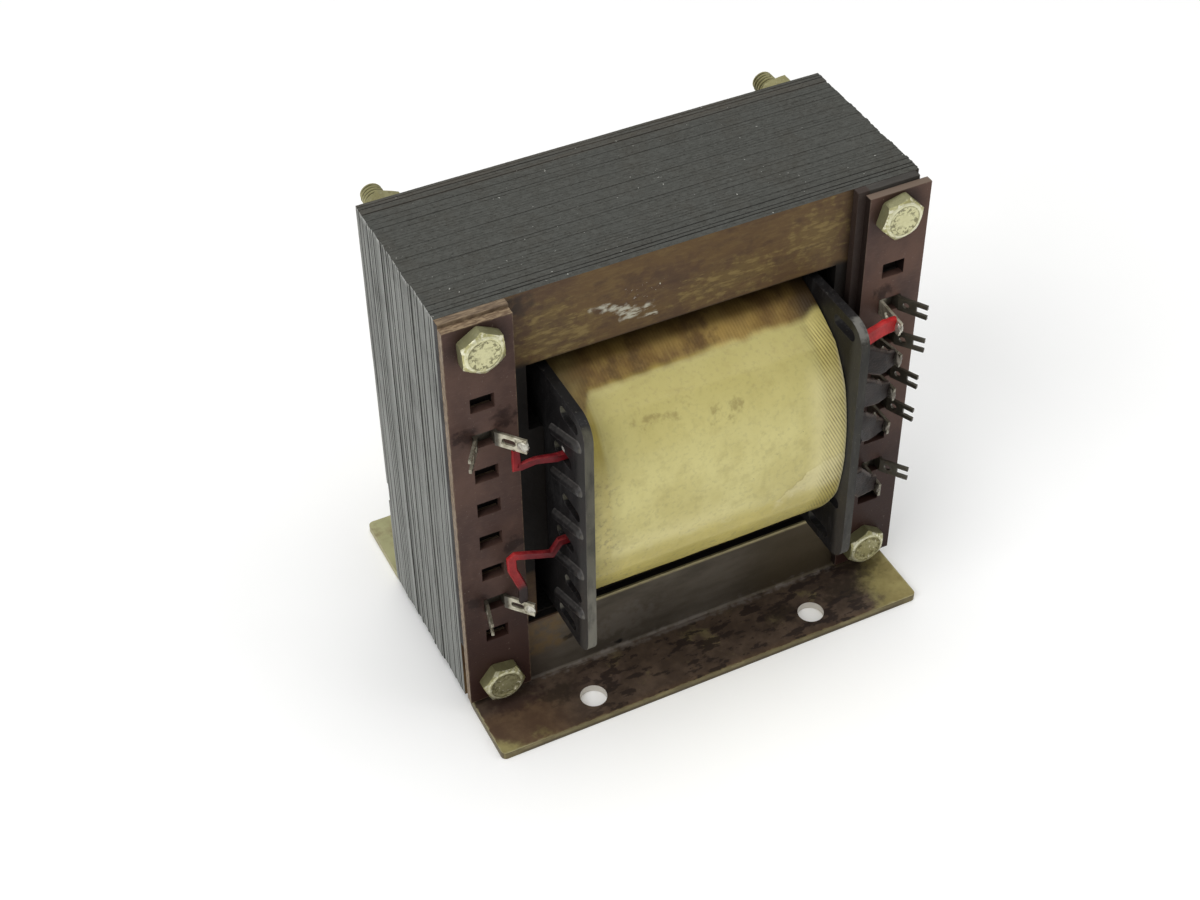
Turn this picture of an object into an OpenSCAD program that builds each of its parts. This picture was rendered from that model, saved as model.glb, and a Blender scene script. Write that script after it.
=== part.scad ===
// Laminated mains transformer with soldered terminals, clamped between two angle feet.
// X runs along the front, Y to the back and Z up. The origin lies on the ground under the core's centre.

/* [Core] */
// Width of a core sheet along the front
core_width = 85; // [78:0.5:110]
// Height of a core sheet
core_height = 85; // [80:0.5:110]
// Thickness of the stack of sheets
core_depth = 32; // [24:0.5:48]
// Width of the yokes and of the upper and lower limb
limb_width = 14.5; // [12:0.5:17]
// Height of the centre limb inside the coil
centre_limb = 29; // [24:0.5:31]
// Height of the core's underside above the ground
core_lift = 2.1; // [1.8:0.1:6]
// Packs of sheets that stand out against each other
pack_count = 16; // [4:2:32]
// Largest amount by which the edge of a pack stands out or back
pack_stagger = 0.2; // [0:0.05:0.5]
// Cut that frees the tongue of each sheet at one end
tongue_cut = 0.5; // [0.2:0.1:1]
// Height of the marking notch in the edge of the rearmost sheets
notch_height = 4.5; // [2:0.1:6]
// Depth of the marking notch
notch_depth = 1.6; // [0.8:0.1:3]
// Thickness of the rearmost sheets that have the marking notch
notch_sheets = 1; // [0.5:0.1:1.5]
// Distance of the marking notch below the middle of the core
notch_drop = 20.3; // [16:0.1:28]

/* [Bobbin] */
// Play between the centre limb and the bobbin tube
tube_play = 0.25; // [0.1:0.05:0.5]
// Wall of the bobbin tube
tube_wall = 1.5; // [1:0.1:2]
// Thickness of a bobbin flange
flange_thickness = 1.6; // [1:0.1:2.4]
// Gap between a bobbin flange and the yoke beside it
flange_end_gap = 2.5; // [1.8:0.1:4]
// Gap between a bobbin flange and the upper or lower limb
flange_side_gap = 1.7; // [0.8:0.1:3]
// How far the flanges stand out in front of the core
flange_reach = 15.4; // [14:0.1:20]
// Radius of the flange corners
flange_corner = 4; // [2:0.5:6]
// Distance from lead slot to lead slot
lead_slot_pitch = 9.4; // [7:0.1:10]
// Length of a lead slot
lead_slot_length = 6.3; // [4:0.1:8]
// Height of a lead slot
lead_slot_height = 2.2; // [1.6:0.1:3]
// Web between a lead slot and the edge of the flange
lead_slot_web = 2.3; // [1.5:0.1:4]
// How much farther back every second lead slot lies
lead_slot_stagger = 2.6; // [0:0.1:3]
// Least web between the outermost lead slots and the ends of the flange
lead_slot_end = 1.4; // [1:0.1:3]
// Width of the slanted guide ribs between the lead slots
guide_rib_width = 2.2; // [1:0.1:2.4]
// Height of the slanted guide ribs
guide_rib_height = 0.8; // [0.4:0.1:1]
// Length of the slanted guide ribs
guide_rib_length = 12; // [6:0.5:12]
// Angle at which the guide ribs rise to the edge of the flange
guide_rib_slant = 22; // [0:1:35]

/* [Windings] */
// How far the coil bulges out in front of the core
coil_reach = 13.9; // [12.5:0.1:14]
// Gap between the coil and the upper or lower limb
coil_side_gap = 1.3; // [0.6:0.1:2]
// Radius of the bulging front and back of the coil
coil_front_radius = 47; // [40:1:80]
// Radius of the upper and lower side of the coil
coil_top_radius = 44; // [40:1:60]
// How far the rounded coil corners reach beyond the coil's larger half size
coil_corner_reach = 1.3; // [0.8:0.1:2]
// How far the rounded coil corners sit above the coil's middle
coil_corner_rise = 0.45; // [0:0.05:0.6]
// Thickness of the outer wrap
wrap_thickness = 0.4; // [0.2:0.1:0.8]
// Thickness of the secondary winding
secondary_thickness = 4.6; // [3:0.1:5]
// Thickness of the insulation between the windings
insulation_thickness = 0.5; // [0.2:0.1:0.8]
// Least thickness of the primary winding at the corners of the bobbin tube
primary_corner = 0.4; // [0.2:0.1:0.5]
// Gap between the windings and the flanges
winding_end_gap = 0.2; // [0.1:0.1:0.6]

/* [Feet] */
// Thickness of the sheet steel of the feet
foot_sheet = 1.5; // [1:0.1:1.8]
// How far a foot ends short of the core's sides
foot_end_gap = 0.5; // [0:0.1:2]
// How far the upright side of a foot ends below the windows of the core
foot_top_gap = 0.6; // [0:0.1:2]
// How far the front foot stands out from the core
front_foot_depth = 15; // [13:0.1:24]
// How far the rear foot stands out from the core
rear_foot_depth = 16.4; // [13:0.1:24]
// Inner radius of the fold
fold_radius = 0.6; // [0.2:0.1:1]
// Radius of the outer corners of a foot
foot_corner = 1; // [0.2:0.1:3]
// Diameter of the mounting holes
foot_hole = 4.8; // [4:0.1:5.5]
// Distance between the two mounting holes of a foot
foot_hole_spacing = 44.4; // [30:0.1:56]
// Distance from the core to the row of mounting holes
foot_hole_offset = 10.1; // [8:0.1:10.5]

/* [Terminal strips] */
// Width of a terminal strip
strip_width = 11.6; // [10:0.1:12.5]
// How far a terminal strip ends short of the core's upper and lower edge
strip_end_gap = 0.7; // [0:0.1:1.5]
// Thickness of a terminal strip
strip_thickness = 1.5; // [1:0.1:2.5]
// Slots in a terminal strip
strip_slot_count = 8; // [7:1:8]
// Distance from slot to slot
strip_slot_pitch = 7.45; // [7:0.05:7.8]
// Width of a slot
strip_slot_width = 4.1; // [3.6:0.1:4.6]
// Height of a slot
strip_slot_height = 2.9; // [2.5:0.1:3.4]
// How far the right terminal strip sits outwards
right_strip_shift = 0.5; // [0:0.1:0.8]
// How far the right spacer strip sits towards the coil
right_spacer_shift = 0.9; // [0:0.1:1.8]
// Depth of the pockets for the terminals in the spacer strips
pocket_depth = 0.9; // [0.7:0.1:0.9]

/* [Terminals] */
// Thickness of the stamped terminals
tag_sheet = 0.5; // [0.3:0.05:0.6]
// Play of a terminal in its slot
tag_play = 0.05; // [0.02:0.01:0.1]
// Height of the shoulders above and below the slot
tag_shoulder = 0.5; // [0.3:0.1:0.6]
// Distance from the strip at which the legs bend
tag_stand = 0.6; // [0.5:0.1:1]
// Length of the forked leg beyond its bend
fork_length = 5.1; // [4:0.1:7]
// Depth of the gap between the prongs
fork_gap_depth = 2; // [1:0.1:2.4]
// Height of the gap between the prongs
fork_gap = 1.3; // [0.6:0.1:1.5]
// Diameter of the hole in the forked leg
fork_hole = 1.2; // [0.5:0.1:1.4]
// Distance of the hole in the forked leg from its bend
fork_hole_place = 1.2; // [0.9:0.1:1.6]
// Length of the lug beyond its bend
lug_length = 5.3; // [4.6:0.1:7]
// Height of the oblong hole in the lug
lug_hole = 1.2; // [0.8:0.1:1.4]
// Length of the oblong hole in the lug
lug_hole_length = 2.4; // [1.6:0.1:3]
// Distance of the oblong hole from the bend of the lug
lug_hole_place = 2.2; // [1.8:0.1:2.6]
// Depth of the notch in the end of the lug
lug_notch = 0.9; // [0.4:0.1:1.2]
// Outward lean of the forks on the left strip, from the top down
left_fork_lean = [34, 14]; // [0:1:35]
// Outward lean of the forks on the right strip, from the top down
right_fork_lean = [31, 37, 25, 24, 36]; // [0:1:42]
// Inward lean of the lugs on the left strip, from the top down
left_lug_lean = [40, 41]; // [-10:1:42]
// Inward lean of the lugs on the right strip, from the top down
right_lug_lean = [-4, -12, -6, -2, 2]; // [-15:1:15]
// Droop of the lugs on the right strip, from the top down
right_lug_droop = [9, 5, 3, 4, 2]; // [0:1:14]

/* [Leads] */
// Diameter of a red lead
lead_diameter = 1.5; // [1:0.1:1.8]
// Height of the flattened red sleeve at its lug
red_sleeve_height = 3.2; // [2:0.1:5.6]
// Height of the flattened dark sleeves at their lugs
sleeve_height = 4.8; // [2:0.1:5.6]
// Thickness of the flattened sleeves at their lugs
sleeve_thickness = 1; // [0.6:0.1:1.4]

/* [Fasteners] */
// Diameter of the clamp bolts
bolt_diameter = 4; // [3:0.5:4]
// Play of the clamp bolts in their holes
bolt_play = 0.25; // [0.1:0.05:0.4]
// Distance of the clamp bolts from the core's sides
bolt_edge_x = 5.7; // [4:0.1:7.5]
// Distance of the clamp bolts from the core's upper and lower edge
bolt_edge_z = 5; // [4.8:0.1:7]
// Width of the bolt heads and nuts across the flats
hex_flats = 7; // [5.5:0.5:7]
// Height of the bolt heads
head_height = 2.4; // [2:0.1:3.5]
// Height of the nuts
nut_height = 3.2; // [2.4:0.1:4]
// Play of the nuts on the bolts
nut_play = 0.05; // [0.02:0.01:0.1]
// Diameter of the washers under the nuts
washer_diameter = 9; // [8:0.5:9]
// Thickness of the washers
washer_thickness = 0.8; // [0.5:0.1:1.2]
// Length of bolt beyond the upper nuts
bolt_tail = 5; // [2:0.5:8]

/* [Hidden] */
$fn = 64;
// Length by which a cut runs past the face it cuts
over = 1;

// Core
axis_z = core_lift + core_height / 2;
core_front = -core_depth / 2;
core_back = core_depth / 2;
window_length = core_width - 2 * limb_width;
window_height = (core_height - 2 * limb_width - centre_limb) / 2;
pack_thickness = core_depth / pack_count;
bolt_hole = bolt_diameter + 2 * bolt_play;
bolt_x = core_width / 2 - bolt_edge_x;
bolt_z = core_height / 2 - bolt_edge_z;

// Bobbin
tube_inner_y = core_depth + 2 * tube_play;
tube_inner_z = centre_limb + 2 * tube_play;
tube_outer_y = tube_inner_y + 2 * tube_wall;
tube_outer_z = tube_inner_z + 2 * tube_wall;
flange_outer_x = window_length / 2 - flange_end_gap;
flange_inner_x = flange_outer_x - flange_thickness;
flange_half_y = core_depth / 2 + flange_reach;
flange_half_z = centre_limb / 2 + window_height - flange_side_gap;
lead_slot_y = flange_half_y - lead_slot_web - lead_slot_length / 2;
lead_slot_room = 2 * (flange_half_z - lead_slot_end) - lead_slot_height;
lead_slot_count = floor(lead_slot_room / lead_slot_pitch) + 1;

// Coil
winding_x = flange_inner_x - winding_end_gap;
coil_half_y = core_depth / 2 + coil_reach;
coil_half_z = centre_limb / 2 + window_height - coil_side_gap;
coil_corner_radius = max(coil_half_y, coil_half_z) + coil_corner_reach;
layers_thickness = wrap_thickness + secondary_thickness + insulation_thickness;

// Feet
foot_length = core_width - 2 * foot_end_gap;
foot_height = core_lift + limb_width - foot_top_gap;

// What lies on the front of the core, from the core outwards
spacer_front = core_front - foot_sheet;
strip_front = spacer_front - strip_thickness;
strip_height = core_height - 2 * strip_end_gap;
left_strip_x = -bolt_x;
right_strip_x = bolt_x + right_strip_shift;
spacer_top = core_lift + core_height;
tag_half = strip_slot_width / 2 - tag_play;
tag_height = strip_slot_height - 2 * tag_play;
tag_leg_x = tag_half - tag_sheet / 2;
bend_y = strip_front - tag_stand;

// Slots that carry a terminal, counted from the top
left_used = [1, 6];
right_used = [1, 2, 3, 4, 6];

// Hexagon across its corners
hex_corners = hex_flats / cos(30);
// Turn of each bolt head and nut about its axis
head_turn = [27, 46, 8, 34];
nut_turn = [20, 50, 8, 35];

red = "firebrick";
zinc = [0.71, 0.68, 0.50];
board = [0.31, 0.23, 0.22];
moulding = [0.13, 0.13, 0.13];
tin = [0.72, 0.70, 0.64];
dark_sleeve = [0.15, 0.11, 0.10];

// Height of a slot in the terminal strips, counted from the top
function slot_z(i) = axis_z + ((strip_slot_count - 1) / 2 - i) * strip_slot_pitch;
// Height of a lead slot in the flanges, counted from the top
function lead_z(i) = axis_z + ((lead_slot_count - 1) / 2 - i) * lead_slot_pitch;
// Distance of a lead slot in the flanges from the middle of the coil, counted from the top
function lead_y(i) = lead_slot_y - (i % 2) * lead_slot_stagger;
// Uneven edge of a pack, on one of its four sides
function stagger(pack, side) = pack_stagger * sin(pack * 137.5 + side * 71);

// Shapes used more than once

module along_y(y0, y1) {
    translate([0, y1, 0])
        rotate([90, 0, 0])
            linear_extrude(y1 - y0) children();
}

module along_x(x0, x1) {
    translate([x0, 0, axis_z])
        rotate([90, 0, 90])
            linear_extrude(x1 - x0) children();
}

module rounded_rectangle(width, height, radius) {
    square([width - 2 * radius, height], center = true);
    square([width, height - 2 * radius], center = true);
    for (sx = [-1, 1], sy = [-1, 1])
        translate([sx * (width / 2 - radius), sy * (height / 2 - radius)]) circle(radius);
}

module stadium(length, height) {
    square([length - height, height], center = true);
    for (s = [-1, 1])
        translate([s * (length - height) / 2, 0]) circle(d = height);
}

// Clamp bolt positions: upper left, upper right, lower left, lower right
module at_bolt(i) {
    translate([(i % 2 == 0 ? -1 : 1) * bolt_x, 0, axis_z + (i < 2 ? 1 : -1) * bolt_z])
        children();
}

module bolt_holes(y0, y1) {
    for (i = [0 : 3])
        at_bolt(i) along_y(y0 - over, y1 + over) circle(d = bolt_hole);
}

// Hexagon with its outer end turned to a chamfer, standing on y = 0 and reaching to y = -height
module hexagon(height) {
    chamfer = (hex_corners - hex_flats) / 2;
    intersection() {
        along_y(-height, 0) circle(d = hex_corners, $fn = 6);
        rotate([90, 0, 0])
            rotate_extrude()
                polygon([
                    [0, 0], [hex_corners / 2, 0], [hex_corners / 2, height - chamfer * tan(30)],
                    [hex_flats / 2 - chamfer / 2, height], [0, height]
                ]);
    }
}

// Core

module pack_outline(pack) {
    left = core_width / 2 + stagger(pack, 1);
    right = core_width / 2 + stagger(pack, 2);
    upper = core_height / 2 + stagger(pack, 3);
    lower = core_height / 2 + stagger(pack, 4);
    translate([-left, axis_z - lower]) square([left + right, lower + upper]);
}

module core_stack() {
    color("dimgray")
        difference() {
            for (pack = [0 : pack_count - 1])
                along_y(core_front + pack * pack_thickness, core_front + (pack + 1) * pack_thickness)
                    pack_outline(pack);
            for (side = [-1, 1])
                translate([0, 0, axis_z + side * (centre_limb + window_height) / 2])
                    cube([window_length, core_depth + 2 * over, window_height], center = true);
            for (pack = [0 : pack_count - 1])
                translate([
                    (pack % 2 == 0 ? -1 : 1) * (window_length - tongue_cut) / 2,
                    core_front + (pack + 0.5) * pack_thickness,
                    axis_z
                ])
                    cube([tongue_cut, pack_thickness, centre_limb + over], center = true);
            translate([-core_width / 2, core_back, axis_z - notch_drop])
                cube([2 * notch_depth, 2 * notch_sheets, notch_height], center = true);
            bolt_holes(core_front, core_back);
        }
}

// Bobbin and windings

module flange_outline() {
    difference() {
        rounded_rectangle(2 * flange_half_y, 2 * flange_half_z, flange_corner);
        for (edge = [-1, 1], i = [0 : lead_slot_count - 1])
            translate([edge * lead_y(i), lead_z(i) - axis_z])
                stadium(lead_slot_length, lead_slot_height);
    }
}

// Low rounded ribs on the outer face of a flange that keep the leads apart
module guide_ribs() {
    radius = (pow(guide_rib_width / 2, 2) + pow(guide_rib_height, 2)) / (2 * guide_rib_height);
    straight = guide_rib_length - guide_rib_width;
    for (edge = [-1, 1], i = [0 : lead_slot_count - 2])
        translate([flange_outer_x, edge * (lead_y(i) + lead_y(i + 1)) / 2, (lead_z(i) + lead_z(i + 1)) / 2])
            rotate([edge * guide_rib_slant, 0, 0])
                intersection() {
                    translate([guide_rib_height - radius, 0, 0]) {
                        rotate([90, 0, 0]) cylinder(r = radius, h = straight, center = true);
                        for (s = [-1, 1])
                            translate([0, s * straight / 2, 0]) sphere(radius);
                    }
                    translate([-flange_thickness / 2, -guide_rib_length, -guide_rib_width])
                        cube([2 * flange_thickness, 2 * guide_rib_length, 2 * guide_rib_width]);
                }
}

module tube_opening() {
    translate([0, -tube_play]) square([tube_inner_y, tube_inner_z], center = true);
}

module coil_bobbin() {
    color(moulding)
        difference() {
            union() {
                along_x(-flange_outer_x, flange_outer_x)
                    translate([0, -tube_play]) square([tube_outer_y, tube_outer_z], center = true);
                along_x(-flange_outer_x, -flange_inner_x) flange_outline();
                along_x(flange_inner_x, flange_outer_x) flange_outline();
                guide_ribs();
                mirror([1, 0, 0]) guide_ribs();
            }
            along_x(-flange_outer_x - over, flange_outer_x + over) tube_opening();
        }
}

// Outline of the coil across its axis, drawn in by an amount that leaves room for the layers outside it.
// Each layer goes round the corners of the tube in its full thickness.
module coil_outline(inset) {
    front_centre = coil_front_radius - coil_half_y;
    top_centre = coil_top_radius - coil_half_z;
    round_tube = primary_corner + layers_thickness - inset;
    intersection() {
        translate([front_centre, 0]) circle(coil_front_radius - inset);
        translate([-front_centre, 0]) circle(coil_front_radius - inset);
        translate([0, top_centre]) circle(coil_top_radius - inset);
        translate([0, -top_centre]) circle(coil_top_radius - inset);
        translate([0, coil_corner_rise]) circle(coil_corner_radius - coil_corner_rise - inset);
    }
    translate([0, -tube_play])
        rounded_rectangle(tube_outer_y + 2 * round_tube, tube_outer_z + 2 * round_tube, round_tube);
}

module coil_layer(outer_inset, thickness) {
    along_x(-winding_x, winding_x)
        difference() {
            coil_outline(outer_inset);
            coil_outline(outer_inset + thickness);
        }
}

module outer_wrap() {
    color([0.76, 0.72, 0.46]) coil_layer(0, wrap_thickness);
}

module secondary_winding() {
    color("peru") coil_layer(wrap_thickness, secondary_thickness);
}

module interlayer_insulation() {
    color("wheat") coil_layer(wrap_thickness + secondary_thickness, insulation_thickness);
}

module primary_winding() {
    color("chocolate")
        along_x(-winding_x, winding_x)
            difference() {
                coil_outline(layers_thickness);
                translate([0, -tube_play]) square([tube_outer_y, tube_outer_z], center = true);
            }
}

// Feet

// Section of a foot, with the core's face at 0 and the foot standing out along the first axis
module foot_section(depth) {
    bend = fold_radius + foot_sheet;
    difference() {
        union() {
            translate([0, bend]) square([foot_sheet, foot_height - bend]);
            translate([bend, 0]) square([depth - bend, foot_sheet]);
            square(bend);
        }
        difference() {
            square(bend);
            translate([bend, bend]) circle(bend);
        }
        intersection() {
            square(bend);
            translate([bend, bend]) circle(fold_radius);
        }
    }
}

// A foot from above, with its outer corners rounded
module foot_plan(depth) {
    translate([-foot_length / 2, foot_corner - depth]) square([foot_length, depth - foot_corner]);
    translate([foot_corner - foot_length / 2, -depth]) square([foot_length - 2 * foot_corner, depth]);
    for (s = [-1, 1])
        translate([s * (foot_length / 2 - foot_corner), foot_corner - depth]) circle(foot_corner);
}

// A foot that stands out to the front from a core face at y = 0
module foot(depth) {
    difference() {
        intersection() {
            translate([-foot_length / 2, 0, 0])
                rotate([90, 0, 90])
                    linear_extrude(foot_length)
                        mirror([1, 0]) foot_section(depth);
            linear_extrude(foot_height) foot_plan(depth);
        }
        translate([0, -core_front, 0]) bolt_holes(core_front - foot_sheet, core_front);
        for (s = [-1, 1])
            translate([s * foot_hole_spacing / 2, -foot_hole_offset, -over])
                cylinder(d = foot_hole, h = foot_sheet + 2 * over);
    }
}

module front_foot() {
    color(zinc) translate([0, core_front, 0]) foot(front_foot_depth);
}

module rear_foot() {
    color(zinc) mirror([0, 1, 0]) translate([0, -core_back, 0]) foot(rear_foot_depth);
}

// Terminal strips

module strip_slots(slots, width, height, y0, y1) {
    for (i = slots)
        translate([0, (y0 + y1) / 2, slot_z(i)])
            cube([width, y1 - y0, height], center = true);
}

module terminal_strip(x) {
    color(board)
        difference() {
            translate([x - strip_width / 2, strip_front, axis_z - strip_height / 2])
                cube([strip_width, strip_thickness, strip_height]);
            translate([x, 0, 0])
                strip_slots([0 : strip_slot_count - 1], strip_slot_width, strip_slot_height,
                    strip_front - over, spacer_front + over);
            bolt_holes(strip_front, spacer_front);
        }
}

module left_terminal_strip() {
    terminal_strip(left_strip_x);
}

module right_terminal_strip() {
    terminal_strip(right_strip_x);
}

// Spacer between the core and a terminal strip, standing on the upright side of the front foot
module spacer_strip(x, slot_x) {
    pocket_width = strip_slot_width + 2 * tag_play;
    pocket_height = tag_height + 2 * tag_shoulder + 2 * tag_play;
    color([0.42, 0.33, 0.25])
        difference() {
            translate([x - strip_width / 2, spacer_front, foot_height])
                cube([strip_width, foot_sheet, spacer_top - foot_height]);
            translate([slot_x, 0, 0])
                strip_slots([0 : strip_slot_count - 1], pocket_width, pocket_height,
                    spacer_front - over, spacer_front + pocket_depth);
            bolt_holes(spacer_front, core_front);
        }
}

module left_spacer_strip() {
    spacer_strip(left_strip_x, left_strip_x);
}

module right_spacer_strip() {
    spacer_strip(bolt_x - right_spacer_shift, right_strip_x);
}

// Terminals

module fork_leg() {
    difference() {
        translate([-tag_sheet / 2, -fork_length, -tag_height / 2])
            cube([tag_sheet, fork_length + tag_sheet / 2, tag_height]);
        translate([0, -fork_length, 0])
            cube([2 * tag_sheet, 2 * fork_gap_depth, fork_gap], center = true);
        translate([0, -fork_hole_place, 0])
            rotate([0, 90, 0])
                cylinder(d = fork_hole, h = 2 * tag_sheet, center = true, $fn = 24);
    }
}

module lug_leg() {
    difference() {
        translate([-tag_sheet / 2, -lug_length, -tag_height / 2])
            cube([tag_sheet, lug_length + tag_sheet / 2, tag_height]);
        translate([-tag_sheet, -lug_length, 0])
            rotate([90, 0, 90])
                linear_extrude(2 * tag_sheet)
                    polygon([[-over, -tag_height / 3], [lug_notch, 0], [-over, tag_height / 3]]);
        translate([-tag_sheet, -lug_hole_place, 0])
            rotate([90, 0, 90])
                linear_extrude(2 * tag_sheet) stadium(lug_hole_length, lug_hole);
    }
}

// A terminal of the right strip at the origin: shoulders behind the strip, two legs through its slot
module terminal(fork_lean, lug_lean, lug_droop) {
    shoulder_height = tag_height + 2 * tag_shoulder;
    color(tin)
        union() {
            translate([-tag_half, spacer_front, -shoulder_height / 2])
                cube([2 * tag_half, tag_sheet, shoulder_height]);
            for (s = [-1, 1])
                translate([s * tag_leg_x - tag_sheet / 2, bend_y, -tag_height / 2])
                    cube([tag_sheet, spacer_front - bend_y + tag_sheet, tag_height]);
            translate([tag_leg_x, bend_y, 0]) rotate([0, 0, fork_lean]) fork_leg();
            translate([-tag_leg_x, bend_y, 0]) rotate([lug_droop, 0, -lug_lean]) lug_leg();
        }
}

module right_terminal(i) {
    translate([right_strip_x, 0, slot_z(right_used[i])])
        terminal(right_fork_lean[i], right_lug_lean[i], right_lug_droop[i]);
}

module left_terminal(i) {
    translate([left_strip_x, 0, slot_z(left_used[i])])
        mirror([1, 0, 0]) terminal(left_fork_lean[i], left_lug_lean[i], 0);
}

// Leads

// Point on the middle plane of a right lug, at a distance along it and a height across it
function right_lug_point(i, along, across) =
    let (
        lean = right_lug_lean[i],
        droop = right_lug_droop[i],
        y = -along * cos(droop) - across * sin(droop),
        z = -along * sin(droop) + across * cos(droop)
    )
    [right_strip_x - tag_leg_x + y * sin(lean), bend_y + y * cos(lean), slot_z(right_used[i]) + z];

// Direction out of the face of a right lug that looks at the coil
function right_lug_normal(i) = [-cos(right_lug_lean[i]), sin(right_lug_lean[i]), 0];

function left_lug_point(i, along, across) =
    [
        left_strip_x + tag_leg_x + along * sin(left_lug_lean[i]),
        bend_y - along * cos(left_lug_lean[i]),
        slot_z(left_used[i]) + across
    ];

function unit(v) = v / norm(v);

function curve_point(a, b, c, d, t) =
    0.5 * (2 * b + (c - a) * t + (2 * a - 5 * b + 4 * c - d) * t * t + (3 * b - a - 3 * c + d) * t * t * t);

// Smooth curve through the points of a route
function smooth_route(route, steps) =
    let (last = len(route) - 1)
    [
        for (i = [0 : last - 1], k = [0 : steps - 1])
            curve_point(route[max(i - 1, 0)], route[i], route[i + 1], route[min(i + 2, last)], k / steps),
        route[last]
    ];

function heading(points, route, i) =
    i == 0 ? unit(route[1] - route[0])
    : i == len(points) - 1 ? unit(route[len(route) - 1] - route[len(route) - 2])
    : unit(points[i + 1] - points[i - 1]);

// Sleeve along a route, with an oval section that changes between the second and the third point
module sleeve(route, size_start, size_end, steps = 4, sides = 10) {
    points = smooth_route(route, steps);
    rings = len(points);
    corners = [
        for (i = [0 : rings - 1])
            let (
                ahead = heading(points, route, i),
                up = unit(cross(ahead, [0, 1, 0])),
                across = cross(up, ahead),
                t = min(max(i / steps - 1, 0), 1),
                blend = t * t * (3 - 2 * t),
                size = size_start * (1 - blend) + size_end * blend
            )
            for (k = [0 : sides - 1])
                points[i] + up * size[0] / 2 * cos(360 * k / sides) + across * size[1] / 2 * sin(360 * k / sides)
    ];
    polyhedron(
        points = corners,
        faces = concat(
            [[for (k = [sides - 1 : -1 : 0]) k]],
            [[for (k = [0 : sides - 1]) (rings - 1) * sides + k]],
            [
                for (i = [0 : rings - 2], k = [0 : sides - 1])
                    [i * sides + k, i * sides + (k + 1) % sides, (i + 1) * sides + (k + 1) % sides]
            ],
            [
                for (i = [0 : rings - 2], k = [0 : sides - 1])
                    [i * sides + k, (i + 1) * sides + (k + 1) % sides, (i + 1) * sides + k]
            ]
        )
    );
}

round_size = [lead_diameter, lead_diameter];
flat_size = [sleeve_height, sleeve_thickness];
red_flat_size = [red_sleeve_height, sleeve_thickness];
// Straight end of a flattened sleeve before its lug
sleeve_run = 2.4;

// Point of a lead, set off outwards, backwards and upwards from the middle of a lead slot
function lead_point(side, slot, out, back, rise) =
    [side * (flange_outer_x + out), back - lead_y(slot), lead_z(slot) + rise];

// Start of a lead at the end of the winding and its way through a lead slot
function lead_start(side, slot, back) =
    [lead_point(side, slot, winding_x - flange_outer_x, back, 0), lead_point(side, slot, 1, back, 0)];

// End of a right lead, square on the face of its lug
function right_lead_end(i, along, across) =
    let (seat = right_lug_point(i, along, across) + right_lug_normal(i) * tag_sheet / 2)
    [seat + right_lug_normal(i) * sleeve_run, seat];

left_upper_seat = left_lug_point(0, 3.2, -tag_height / 2);
left_upper_route = concat(
    lead_start(-1, 1, 0),
    [lead_point(-1, 1, 4.6, 0.6, 0.3), lead_point(-1, 1, 6.8, 0.85, -0.2)],
    [left_upper_seat + [-0.1, -0.4, -3.2], left_upper_seat + [0, 0, -1.1], left_upper_seat]
);
left_lower_seat = left_lug_point(1, 3.2, tag_height / 2);
left_lower_route = concat(
    lead_start(-1, 3, 0),
    [lead_point(-1, 3, 2.5, 0.2, -2.4), lead_point(-1, 3, 5.3, 0.5, -1.7)],
    [lead_point(-1, 3, 8.8, 0.75, -0.6), lead_point(-1, 3, 9.5, 0.75, -1.1)],
    [lead_point(-1, 3, 9.4, 0.75, -3.6), left_lower_seat + [0, 0, 3.3], left_lower_seat]
);
right_routes = [
    concat(lead_start(1, 1, -0.9), [lead_point(1, 1, 3.6, -1, 3.8)], right_lead_end(0, 3.9, 0.4)),
    concat(lead_start(1, 1, 1.7), [lead_point(1, 1, 4.5, -0.2, -1.2)], right_lead_end(1, 3.9, 0)),
    concat(lead_start(1, 2, 0.5), [lead_point(1, 2, 4.5, 1.6, 0.2)], right_lead_end(2, 3.9, 0.6)),
    concat(lead_start(1, 3, -0.6), [lead_point(1, 3, 4.5, -1, 1.6)], right_lead_end(3, 3.9, 0)),
    concat(lead_start(1, 4, 1), [lead_point(1, 4, 4.5, 1.6, -0.3)], right_lead_end(4, 3.9, 1.2))
];

module right_lead(i, colour) {
    color(colour) sleeve(right_routes[i], round_size, i == 0 ? red_flat_size : flat_size);
}

// Fasteners

module clamp_bolts() {
    color(zinc)
        for (i = [0 : 3])
            at_bolt(i) {
                rotate([0, head_turn[i], 0]) translate([0, strip_front, 0]) hexagon(head_height);
                along_y(strip_front - head_height / 2, nut_seat(0) + nut_height + bolt_tail)
                    circle(d = bolt_diameter);
            }
}

// Face that a rear washer lies on: the core above, the rear foot below
function washer_seat(i) = core_back + (i < 2 ? 0 : foot_sheet);
function nut_seat(i) = washer_seat(i) + washer_thickness;

module clamp_nuts() {
    color(zinc)
        for (i = [0 : 3])
            at_bolt(i)
                difference() {
                    translate([0, nut_seat(i), 0])
                        rotate([0, nut_turn[i], 0])
                            mirror([0, 1, 0]) hexagon(nut_height);
                    along_y(nut_seat(i) - over, nut_seat(i) + nut_height + over)
                        circle(d = bolt_diameter + 2 * nut_play);
                }
}

module rear_washers() {
    color(zinc)
        for (i = [0 : 3])
            at_bolt(i)
                along_y(washer_seat(i), nut_seat(i))
                    difference() {
                        circle(d = washer_diameter);
                        circle(d = bolt_hole);
                    }
}

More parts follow.
